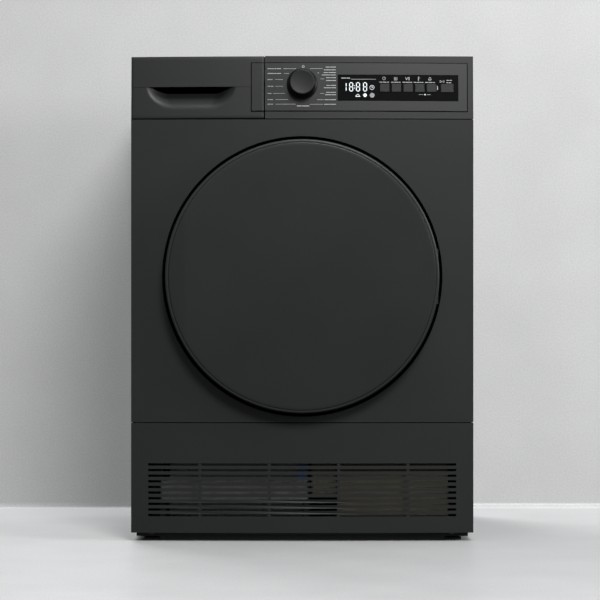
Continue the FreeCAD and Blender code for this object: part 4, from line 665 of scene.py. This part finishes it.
def build_drawer_front():
    """The drawer front: one folded sheet that leans and bows, fine at the scoop, crease and console's end.

    The pocket's faces are black, as painted shadow, and a shade value, painted shade under the crease, fades
    round the scoop."""
    s = sizes()
    crease = s.crease_up

    def columns(first, last):
        fine = np.arange(s.scoop_x - 0.082, s.scoop_x + 0.082, 0.0009)
        step = np.array([CONSOLE_LEFT - 1e-5, CONSOLE_LEFT + 2.5e-4])
        middle = np.unique(np.concatenate([np.linspace(first, last, 60)[1:-1], fine, step]))
        return middle[(middle > first + 1e-5) & (middle < last - 1e-5)]

    def levels(first, last):
        fine = np.arange(crease - s.scoop_high - 0.002, crease - 0.0005, 0.0007)
        step = np.array([crease - 4e-5, crease + 3e-5, CONSOLE_FOOT - 2.5e-4, CONSOLE_FOOT + 1e-5,
                         CONSOLE_HEAD - 1e-5, CONSOLE_HEAD + 2.5e-4])
        return np.unique(np.concatenate([np.linspace(first, last, 24)[1:-1], fine, step]))

    tall = (TOP - FOOT) / math.cos(s.slope) - 0.0002
    x, set_x = folded(DRAWER[0].x, FASCIA[0].x - 0.0015, s.edge, columns)
    up, set_up = folded(0.0003, tall, s.edge, levels)
    grid_x, grid_up = np.meshgrid(x, up)
    depth = drawer_depth(grid_x, grid_up) + set_x[None, :] + set_up[:, None]
    points = lean(grid_x, grid_up, -depth)
    fold = np.zeros_like(grid_x)
    fold[[0, -1], :] = 1
    fold[:, [0, -1]] = 1
    points[..., 1] += fold * (SKIN_BACK - 0.001 - points[..., 1])
    piece = grid_mesh("drawer_face", points, "fascia")
    # The pocket's faces take the black material: painted shadow under the scoop's overhang.
    piece.data.materials.append(material("pocket"))
    middle = (points[:-1, :-1] + points[1:, 1:]) / 2
    mid_up = (grid_up[:-1, :-1] + grid_up[1:, 1:]) / 2
    share = np.abs(middle[..., 0] - s.scoop_x) / s.scoop_half
    down = (crease - mid_up) / s.scoop_high
    black = (down > 0) & (down < pocket_edge(share) + 0.012) & (share < 1)
    piece.data.polygons.foreach_set("material_index", black.ravel().astype(np.int32))
    # The shade value is painted shade: one under the crease in the scoop's middle, fading to the scoop's
    # sides and bottom.
    scoop_shade_share = 1 - smoothstep(0.45, 0.95, np.abs(grid_x - s.scoop_x) / s.scoop_half)
    low = (crease - grid_up) / s.scoop_high
    scoop_shade_share = scoop_shade_share * (low > 0) * (1 - smoothstep(0.35, 0.95, low))
    scoop_shade = piece.data.attributes.new("scoop_shade", "FLOAT", "POINT")
    scoop_shade.data.foreach_set("value", scoop_shade_share.ravel().astype(np.float32))
    tidy(piece, 42)
    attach(piece, "tank_drawer")
    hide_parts("drawer_front")
    return piece


def on_fascia(centre_x, centre_up):
    """Gives a placing for turned pieces whose axis stands square on the leaning fascia."""
    s, c = math.sin(sizes().slope), math.cos(sizes().slope)
    behind = float(bow_depth(np.array(centre_x)))

    def place(across, up, forward):
        depth = behind - forward
        height = centre_up + up
        return np.stack(
            [centre_x + across, SKIN_Y + depth * c + height * s, FOOT + height * c - depth * s], axis=-1
        )

    return place


def build_knob():
    """The knob: a low skirt and a slightly tapered cap with a rounded rim and a dished face.

    The skirt and the side are black, as painted shade on the knob's side and under it; the rim and the face
    are as the fascia."""
    base = CONSOLE_PROUD
    profile = np.concatenate([
        [[0.0, base + 0.0015], [0.0250, base + 0.0015], [0.0266, base + 0.0004]],
        arc((0.0266, base + 0.0013), 0.0004, -90, 90, 5),
        [[0.0250, base + 0.0024]],
        arc((0.0250, base + 0.0050), 0.0022, 250, 180, 6),
        [[0.0226, base + 0.0080], [0.0219, base + 0.0190], [0.0217, base + 0.0215]],
        arc((0.0202, base + 0.0218), 0.0015, 0, 90, 9),
        [[0.0190, base + 0.0232], [0.0120, base + 0.0229], [0.0050, base + 0.0227], [0.0, base + 0.0227]],
    ])
    place = on_fascia(0.0, KNOB_UP)
    piece = turned_mesh("program_knob_cap", profile, place, "knob", 160)
    piece.data.materials.append(material("knob_side_shade"))
    centre = place(np.zeros(1), np.zeros(1), np.zeros(1))[0]
    out = place(np.zeros(1), np.zeros(1), np.ones(1))[0] - centre
    count = len(piece.data.polygons)
    middles = np.empty(count * 3)
    piece.data.polygons.foreach_get("center", middles)
    forward = (middles.reshape(-1, 3) - centre) @ out
    # The side and the skirt take the black: painted shade.
    piece.data.polygons.foreach_set("material_index", (forward < base + 0.0214).astype(np.int32))
    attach(piece, "knob")
    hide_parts("program_knob")
    return piece


def strokes(name, rows, base, finish, body):
    """Printed strokes: each row (x0, up0, x1, up1, width) is a straight bar on the leaning fascia.

    Its corners are the two ends moved half the width to each side, and it is as thick as the print."""
    rows = np.asarray(rows, dtype=float)
    a, b, half = rows[:, 0:2], rows[:, 2:4], rows[:, 4:5] / 2
    along = b - a
    along /= np.maximum(np.linalg.norm(along, axis=1, keepdims=True), 1e-9)
    side = np.stack([along[:, 1], -along[:, 0]], axis=-1) * half
    corners = np.stack([a + side, b + side, b - side, a - side], axis=1)
    low = lean(corners[..., 0], corners[..., 1], base)
    high = lean(corners[..., 0], corners[..., 1], base + sizes().print_lift)
    vertices = np.concatenate([low, high], axis=1).reshape(-1, 3)
    quads = (np.arange(len(rows))[:, None, None] * 8 + BOX_FACES[None]).reshape(-1, 4)
    piece = quads_mesh(name, vertices, quads, finish)
    piece = tidy(piece, 20)
    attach(piece, body)
    return piece


def across(mark):
    """Place across the console of a mark on the layout grid."""
    return (mark - GRID_MIDDLE) * GRID_ACROSS


def upward(mark):
    """Place up the slope of a mark on the layout grid, which counts downwards."""
    return ((GRID_FLOOR - mark) * GRID_UP - FOOT) / math.cos(sizes().slope)


def bars(*marks):
    """Straight strokes, each as x0, y0, x1, y1 on the layout grid and its width."""
    return np.array([
        [across(x0), upward(y0), across(x1), upward(y1), width] for x0, y0, x1, y1, width in marks
    ])


def bars_round(x, y, *offsets):
    """Straight strokes round one mark, each as x0, up0, x1, up1 from it and its width."""
    x, up = across(x), upward(y)
    return np.array([[x + x0, up + up0, x + x1, up + up1, width] for x0, up0, x1, up1, width in offsets])


def ring_rows(x, y, radius, width, start=0, end=360, steps=16):
    """Strokes along an arc round a mark, end to end."""
    turn = np.radians(np.linspace(start, end, steps + 1))
    side, up = across(x) + radius * np.cos(turn), upward(y) + radius * np.sin(turn)
    return np.stack([side[:-1], up[:-1], side[1:], up[1:], 0 * side[:-1] + width], axis=-1)


def dash_rows(x0, x1, y, width, parts):
    """A row of dashes between two marks, their lengths in the given shares, a narrow gap between each two."""
    x0, x1, up = across(x0), across(x1), upward(y)
    parts = np.asarray(parts, dtype=float)
    gap = 0.0008
    lengths = parts / parts.sum() * (x1 - x0 - gap * (len(parts) - 1))
    start = x0 + np.concatenate([[0], np.cumsum(lengths + gap)[:-1]])
    return np.stack([start, 0 * start + up, start + lengths, 0 * start + up, 0 * start + width], axis=-1)


def level_rows(x0, x1, up, width, steps=40):
    """One level stroke as many short ones, so that it follows the bow."""
    x = np.linspace(x0, x1, steps + 1)
    level = np.full(steps, up)
    return np.stack([x[:-1], level, x[1:] + 1e-5, level, np.full(steps, width)], axis=-1)


def figure_rows(x, up, wide, tall, shape, width):
    """A seven stroke figure, its strokes named by letters from the top clockwise, g in the middle."""
    gap = width * 0.55
    w, h = wide / 2, tall / 2
    spans = {
        "a": (-w + gap, h, w - gap, h), "b": (w, h - gap, w, gap), "c": (w, -gap, w, -h + gap),
        "d": (-w + gap, -h, w - gap, -h), "e": (-w, -gap, -w, -h + gap), "f": (-w, h - gap, -w, gap),
        "g": (-w + gap, 0.0, w - gap, 0.0),
    }
    rows = np.array([spans[letter] for letter in shape])
    return np.concatenate([rows + np.array([x, up, x, up]), np.full((len(rows), 1), width)], axis=1)


def build_print():
    print_dial()
    draw_seams_and_shadow()
    print_window()
    light_figures()


def print_dial():
    """Dashes in place of words round the dial, their leader lines, and a power pictogram above it."""
    rows = []
    for y, words_end, start, end, shares in DIAL_LEFT:
        rows += [dash_rows(DIAL_LEFT_EDGE, words_end, y, FINE, shares), bars((start, y, end, y, LEAD))]
    rows += [dash_rows(start, DIAL_RIGHT_EDGE, y, FINE, shares) for y, start, shares in DIAL_RIGHT]
    rows += [bars((start, y, end, y, LEAD)) for y, start, end in DIAL_LINES]
    rows += [
        dash_rows(296.9, 309.2, 106.6, 0.0014, (2, 3)),
        ring_rows(303.2, 67.0, 0.0019, 0.0007, 120, 420, 14),
        bars_round(303.2, 67.0, (0, 0.0008, 0, 0.0027, 0.0008)),
        ring_rows(318.2, 73.4, 0.0005, 0.0008, 0, 360, 8),
    ]
    strokes("dial_print", np.concatenate(rows), CONSOLE_PROUD, "ink", "cabinet")


def draw_seams_and_shadow():
    """Dark lines round the raised console for its seam, the lower one wider as painted shadow under the
    console; one piece on the cabinet and one on the drawer front.
    """
    right, foot, head = CONSOLE_RIGHT + 0.0007, CONSOLE_FOOT - 0.0008, CONSOLE_HEAD + 0.0006
    left, split, thin, wide = CONSOLE_LEFT - 0.0006, FASCIA[0].x, 0.0012, 0.0016
    # The foot lines are wider than the head lines: the extra width is painted shadow under the console.
    strokes("console_seam_and_shadow", np.concatenate([
        level_rows(split, right + 0.0007, head, thin), level_rows(split, right + 0.0007, foot, wide),
        np.array([[right, foot, right, head, 0.0014]]),
    ]), 0.0, "pocket", "cabinet")
    strokes("drawer_seam_and_shadow", np.array([
        [left, head, split - 0.0016, head, thin], [left, foot, split - 0.0016, foot, wide],
        [left, foot, left, head, thin],
    ]), 0.0, "pocket", "tank_drawer")


def print_window():
    """The display window's white marks: words as dashes, and a small pictogram over each key."""
    clock, level, _, heat, bell = KEY_MARKS
    rows = [dash_rows(341.2, 349.8, 78.5, 0.0015, (3, 2)), bars((351, 79.6, 375.6, 79.6, 0.0006))]
    rows += [dash_rows(x - 4.7, x + 4.9, 82.5, FINE, (3, 4, 2)) for x in KEY_MARKS]
    rows.append(ring_rows(clock, 78.7, 0.0026, 0.0006, 0, 360, 18))
    rows.append(bars_round(clock, 78.7, (0, 0, 0, 0.0018, 0.0005), (0, 0, 0.0014, 0, 0.0005)))
    for k in range(3):
        x = across(level) - 0.0022 + 0.0022 * k
        rows.append(np.array([[x, upward(80.0), x, upward(77.4), 0.0008]]))
    rows += [
        bars_round(level, 80.4, (-0.0028, 0, 0.0028, 0, 0.0006)),
        bars((405.3, 77.4, 406.4, 80.3, 0.0008), (406.4, 80.3, 407.6, 77.4, 0.0008),
             (408.8, 77.2, 408.8, 80.4, 0.0016)),
        bars((heat, 76.8, heat, 80.2, 0.0011), (418.9, 77.4, 419.7, 77.4, 0.0005),
             (418.9, 78.6, 419.7, 78.6, 0.0005)),
        ring_rows(heat, 80.4, 0.0007, 0.0008, 0, 360, 10),
        ring_rows(bell, 79.2, 0.0024, 0.0008, 180, 360, 10),
        bars_round(bell, 79.1, (-0.0028, 0, 0.0028, 0, 0.0008)),
        ring_rows(bell, 78.4, 0.0016, 0.0007, 10, 170, 8),
        bars((437.2, 90.0, 437.2, 86.0, 0.0014)),
        dash_rows(446.2, 451.6, 80.3, FINE, (3, 2)),
        dash_rows(446.2, 451.0, 82.7, FINE, (2, 3)),
        bars((439.8, 80.3, 441.8, 81.5, 0.0006), (441.8, 81.5, 439.8, 82.8, 0.0006),
             (439.8, 82.8, 439.8, 80.3, 0.0006), (442.9, 80.4, 442.9, 82.7, 0.0006),
             (443.9, 80.4, 443.9, 82.7, 0.0006)),
        bars((418.4, 94.8, 422.8, 94.8, 0.0006), (426.6, 94.8, 430.6, 94.8, 0.0006)),
    ]
    strokes("window_print", np.concatenate(rows), PRINT_BASE, "ink", "cabinet")


def light_figures():
    """The lit time of the display, its pictograms, and the lit point by the keys."""
    head, foot, stroke = upward(82.8), upward(91.9), 0.0014
    middle, tall = (head + foot) / 2, head - foot - stroke
    rows = [figure_rows(across(346.0) - 0.0022, middle, 0.0044, tall, "bc", stroke)]
    rows += [figure_rows(across(x), middle, 0.0056, tall, "abcdefg", stroke) for x in (351.05, 357.85, 364.9)]
    colon = across(354.5)
    for part in (-0.0021, 0.0021):
        rows.append(np.array([[colon - 0.0006, middle + part, colon + 0.0006, middle + part, stroke]]))
    hand = across(371.8) - 0.0002
    rows += [
        ring_rows(371.8, 87.8, 0.0038, 0.0006, 0, 360, 20),
        np.array([[hand, upward(87.8), hand, upward(86.4), 0.0008]]),
        bars((371.8, 87.8, 372.8, 87.4, 0.0008)),
        ring_rows(364.9, 95.7, 0.0021, 0.0024, 0, 360, 18),
        ring_rows(371.9, 95.7, 0.0036, 0.0005, 0, 360, 18),
        ring_rows(371.9, 95.7, 0.0018, 0.0006, 0, 360, 12),
        bars((355.6, 96.2, 357.6, 94.6, 0.0008), (357.6, 94.6, 359.6, 96.2, 0.0008),
             (355.4, 96.9, 360.2, 96.9, 0.0010)),
    ]
    strokes("lit_figures", np.concatenate(rows), PRINT_BASE, "lit", "cabinet")
    strokes("lit_point", ring_rows(424.8, 94.8, 0.0006, 0.0014, 0, 360, 14), PRINT_BASE, "lit", "cabinet")


def build_door_face():
    """The door's face: a disc with a rounded rim, its left segment folded slightly back. Its back is flat."""
    radius = (DISC[1].z - DISC[0].z) / 2
    front, thick, edge = DISC[0].y, DISC[1].y - DISC[0].y, 0.0012
    quarter = np.linspace(0, math.pi / 2, 7)
    rim = radius - edge * (1 - np.sin(quarter))
    rings = np.concatenate([np.linspace(0, radius - 0.006, 60), rim, [radius, 0]])
    setback = np.concatenate([np.zeros(60), edge * (1 - np.cos(quarter)), [thick, thick]])
    turn = np.linspace(0, 2 * math.pi, 256, endpoint=False)
    x = rings[:, None] * np.cos(turn)
    z = rings[:, None] * np.sin(turn)
    fold = DOOR_CREASE_FALL * np.clip((DOOR_CREASE_X - x) / DOOR_CREASE_RUN, 0, 1)
    fold[-2:] = 0
    y = front + setback[:, None] + fold
    points = np.stack([x, y, DOOR_Z + z], axis=-1)
    piece = tidy(grid_mesh("door_face", points, "disc", closed_rows=True), 30)
    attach(piece, "door")
    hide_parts("door_disc")
    return piece


def build_sound_covers():
    moulded_tray("compressor_cover", 0.0605, 0.256, 0.040, 0.145)
    moulded_tray("pipe_cover", 0.016, 0.060, 0.078, 0.145)


def moulded_tray(name, x0, x1, z0, z1):
    """A moulded tan cover: a level run with a quarter round at each end and lip, so that its rows and columns
    are the same profile carried along, with shallow waves from two sines multiplied."""
    x, set_x = folded(x0, x1, 0.005, lambda first, last: np.linspace(first, last, 24)[1:-1])
    z, set_z = folded(z0, z1, 0.005, lambda first, last: np.linspace(first, last, 16)[1:-1])
    grid_x, grid_z = np.meshgrid(x, z)
    y = COVER_FRONT + set_x[None, :] + set_z[:, None] + 0.0006 * np.sin(grid_x * 420) * np.sin(grid_z * 380)
    y[[0, -1], :] = COVER_BACK
    y[:, [0, -1]] = COVER_BACK
    piece = tidy(grid_mesh(name, np.stack([grid_x, y, grid_z], axis=-1), "jacket"), 50)
    thicken(piece, 0.0015)
    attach(piece, "cabinet")
    return piece


def build_door_gap():
    """A black ring on the recess's floor around the door, painted shadow in the gap round the door: one thin
    turned profile.
    """
    outer, floor_y = sizes().recess_r - 0.0003, SKIN_Y + sizes().recess_deep
    inner = outer - 0.030
    profile = np.array([
        [inner, 0.0003], [outer - 0.0012, 0.0003], [outer, 0.0002], [outer, 0.0001], [inner, 0.0001],
        [inner, 0.0003],
    ])

    def place(across_x, across_z, forward):
        return np.stack([across_x, floor_y - 0.0002 - forward + 0 * across_x, DOOR_Z + across_z], axis=-1)

    piece = turned_mesh("recess_shadow_ring", profile, place, "pocket", 256)
    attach(piece, "cabinet")
    return piece


def build_finishes():
    MATERIALS.update(make_materials())
    for name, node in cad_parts.items():
        finish = next((key for key, names in NODE_FINISH.items() if name in names.split()), None)
        if finish is None:
            raise RuntimeError(f"no finish for {name}")
        node.data.materials.clear()
        node.data.materials.append(material(finish))


# ---------------------------------------------------------------- stage


def paper_material():
    """Pale studio paper, seen through from behind so that the back of the dryer can be looked at."""
    made = Finish("studio paper", (0.56, 0.56, 0.562), specular=0.45)
    made.grained(300, 0.00002).handled(0.34, 0.04)
    tree = made.tree
    split = tree.nodes.new("ShaderNodeSeparateXYZ")
    tree.links.new(tree.nodes.new("ShaderNodeNewGeometry").outputs["Normal"], split.inputs[0])
    made.mix(ramp(tree, split.outputs["Z"], 0.2, 0.9), (0.7, 0.7, 0.702))
    glow = tree.nodes.new("ShaderNodeCombineXYZ")
    for socket in glow.inputs:
        tree.links.new(ramp(tree, split.outputs["Z"], 0.2, 0.9, 0.12, 0.0), socket)
    tree.links.new(glow.outputs[0], made.shader.inputs["Emission Color"])
    made.shader.inputs["Emission Strength"].default_value = 1.0
    paper = made.done()
    clear = tree.nodes.new("ShaderNodeBsdfTransparent")
    mixer = tree.nodes.new("ShaderNodeMixShader")
    tree.links.new(tree.nodes.new("ShaderNodeNewGeometry").outputs["Backfacing"], mixer.inputs[0])
    tree.links.new(made.shader.outputs[0], mixer.inputs[1])
    tree.links.new(clear.outputs[0], mixer.inputs[2])
    tree.links.new(mixer.outputs[0], tree.nodes["Material Output"].inputs["Surface"])
    return paper


def build_stage():
    """Floor and wall as one sheet: a flat run, a quarter round and an upright run, the same all across."""
    MATERIALS["paper"] = paper_material()
    turn = np.linspace(0, math.pi / 2, 8)[1:]
    start = WALL_Y - PAPER_BEND
    y = np.concatenate([np.linspace(-9, start, 20), start + PAPER_BEND * np.sin(turn), [WALL_Y, WALL_Y]])
    z = np.concatenate([np.zeros(20), PAPER_BEND * (1 - np.cos(turn)), [1.5, 4.0]])
    points = np.stack(np.broadcast_arrays(np.linspace(-6, 6, 9), y[:, None], z[:, None]), axis=-1)
    sheet = grid_mesh("studio_sheet", points, "paper")
    for polygon in sheet.data.polygons:
        polygon.use_smooth = True
    if sheet.data.polygons[0].normal.z < 0:
        sheet.data.flip_normals()
    sheet.visible_shadow = False
    sheet.visible_diffuse = False
    sheet.visible_glossy = False

    camera_data = bpy.data.cameras.new("front camera")
    camera = bpy.data.objects.new("front_camera", camera_data)
    bpy.context.scene.collection.objects.link(camera)
    camera.location = CAMERA_PLACE
    camera.rotation_euler = (math.pi / 2, 0, 0)
    camera_data.sensor_width = 36
    camera_data.lens = CAMERA_LENS
    camera_data.shift_x = CAMERA_SHIFT
    camera_data.clip_end = 60
    bpy.context.scene.camera = camera

    for name, place, aim, size, power in LAMPS:
        data = bpy.data.lights.new(name, "AREA")
        data.shape = "DISK"
        data.size = size
        data.energy = power
        lamp = bpy.data.objects.new(name, data)
        bpy.context.scene.collection.objects.link(lamp)
        lamp.location = place
        lamp.visible_glossy = name != "rear_lamp"
        away = np.array(aim) - np.array(place)
        lamp.rotation_euler = (
            math.atan2(math.hypot(away[0], away[1]), -away[2]), 0, math.atan2(away[1], away[0]) - math.pi / 2
        )
    world = bpy.data.worlds.new("studio air")
    world.use_nodes = True
    tree = world.node_tree
    split = tree.nodes.new("ShaderNodeSeparateXYZ")
    tree.links.new(tree.nodes.new("ShaderNodeTexCoord").outputs["Generated"], split.inputs[0])
    glow = ramp(tree, split.outputs["Z"], -0.3, 0.9, 0.06, 0.5)
    tree.links.new(glow, tree.nodes["Background"].inputs["Strength"])
    tree.nodes["Background"].inputs["Color"].default_value = (0.96, 0.98, 1.0, 1)
    bpy.context.scene.world = world
    bpy.context.scene.view_settings.view_transform = "Standard"


# ---------------------------------------------------------------- operators and panel


class DRYER_OT_finishes(bpy.types.Operator):
    """Gives every part of the dryer its material"""

    bl_idname = "dryer.finishes"
    bl_label = "Finishes"

    def execute(self, context):
        build_groups()
        build_finishes()
        return {"FINISHED"}


class DRYER_OT_stage(bpy.types.Operator):
    """Lays the studio sheet and sets lamps and camera"""

    bl_idname = "dryer.stage"
    bl_label = "Stage"

    def execute(self, context):
        build_stage()
        return {"FINISHED"}


class DRYER_OT_drawer(bpy.types.Operator):
    """Moulds the drawer front with its finger scoop"""

    bl_idname = "dryer.drawer"
    bl_label = "Drawer front"

    def execute(self, context):
        build_drawer_front()
        return {"FINISHED"}


class DRYER_OT_knob(bpy.types.Operator):
    """Turns the programme knob"""

    bl_idname = "dryer.knob"
    bl_label = "Knob"

    def execute(self, context):
        build_knob()
        return {"FINISHED"}


class DRYER_OT_door_face(bpy.types.Operator):
    """Shapes the face of the round door"""

    bl_idname = "dryer.door_face"
    bl_label = "Door face"

    def execute(self, context):
        build_door_face()
        return {"FINISHED"}


class DRYER_OT_door_gap(bpy.types.Operator):
    """Lays the black ring of painted shadow on the recess floor round the door"""

    bl_idname = "dryer.door_gap"
    bl_label = "Recess shadow ring"

    def execute(self, context):
        build_door_gap()
        return {"FINISHED"}


class DRYER_OT_sound_cover(bpy.types.Operator):
    """Moulds the covers over the compressor and the pipes"""

    bl_idname = "dryer.sound_cover"
    bl_label = "Sound covers"

    def execute(self, context):
        build_sound_covers()
        return {"FINISHED"}


class DRYER_OT_prints(bpy.types.Operator):
    """Prints the console marks and lights the figures"""

    bl_idname = "dryer.prints"
    bl_label = "Printing"

    def execute(self, context):
        build_print()
        return {"FINISHED"}


OPERATORS = [
    DRYER_OT_finishes, DRYER_OT_stage, DRYER_OT_drawer, DRYER_OT_knob, DRYER_OT_door_face,
    DRYER_OT_door_gap, DRYER_OT_sound_cover, DRYER_OT_prints,
]


class DRYER_PT_panel(bpy.types.Panel):
    """Lists the sizes, colours and building steps of the dryer"""

    bl_idname = "DRYER_PT_panel"
    bl_label = "Tumble dryer"
    bl_space_type = "VIEW_3D"
    bl_region_type = "UI"
    bl_category = "Dryer"

    def draw(self, context):
        for owner in (context.scene.dryer_sizes, context.scene.dryer_colours):
            column = self.layout.column()
            for name in owner.__annotations__:
                column.prop(owner, name)
        for step in OPERATORS:
            self.layout.operator(step.bl_idname)


CLASSES = [DryerSizes, DryerColours, *OPERATORS, DRYER_PT_panel]


def register():
    for each in CLASSES:
        bpy.utils.register_class(each)
    bpy.types.Scene.dryer_sizes = bpy.props.PointerProperty(type=DryerSizes)
    bpy.types.Scene.dryer_colours = bpy.props.PointerProperty(type=DryerColours)


def unregister():
    del bpy.types.Scene.dryer_colours
    del bpy.types.Scene.dryer_sizes
    for each in reversed(CLASSES):
        bpy.utils.unregister_class(each)


def main():
    register()
    bpy.ops.dryer.finishes()
    bpy.ops.dryer.stage()
    bpy.ops.dryer.drawer()
    bpy.ops.dryer.knob()
    bpy.ops.dryer.door_face()
    bpy.ops.dryer.door_gap()
    bpy.ops.dryer.sound_cover()
    bpy.ops.dryer.prints()


if __name__ == "__main__":
    main()
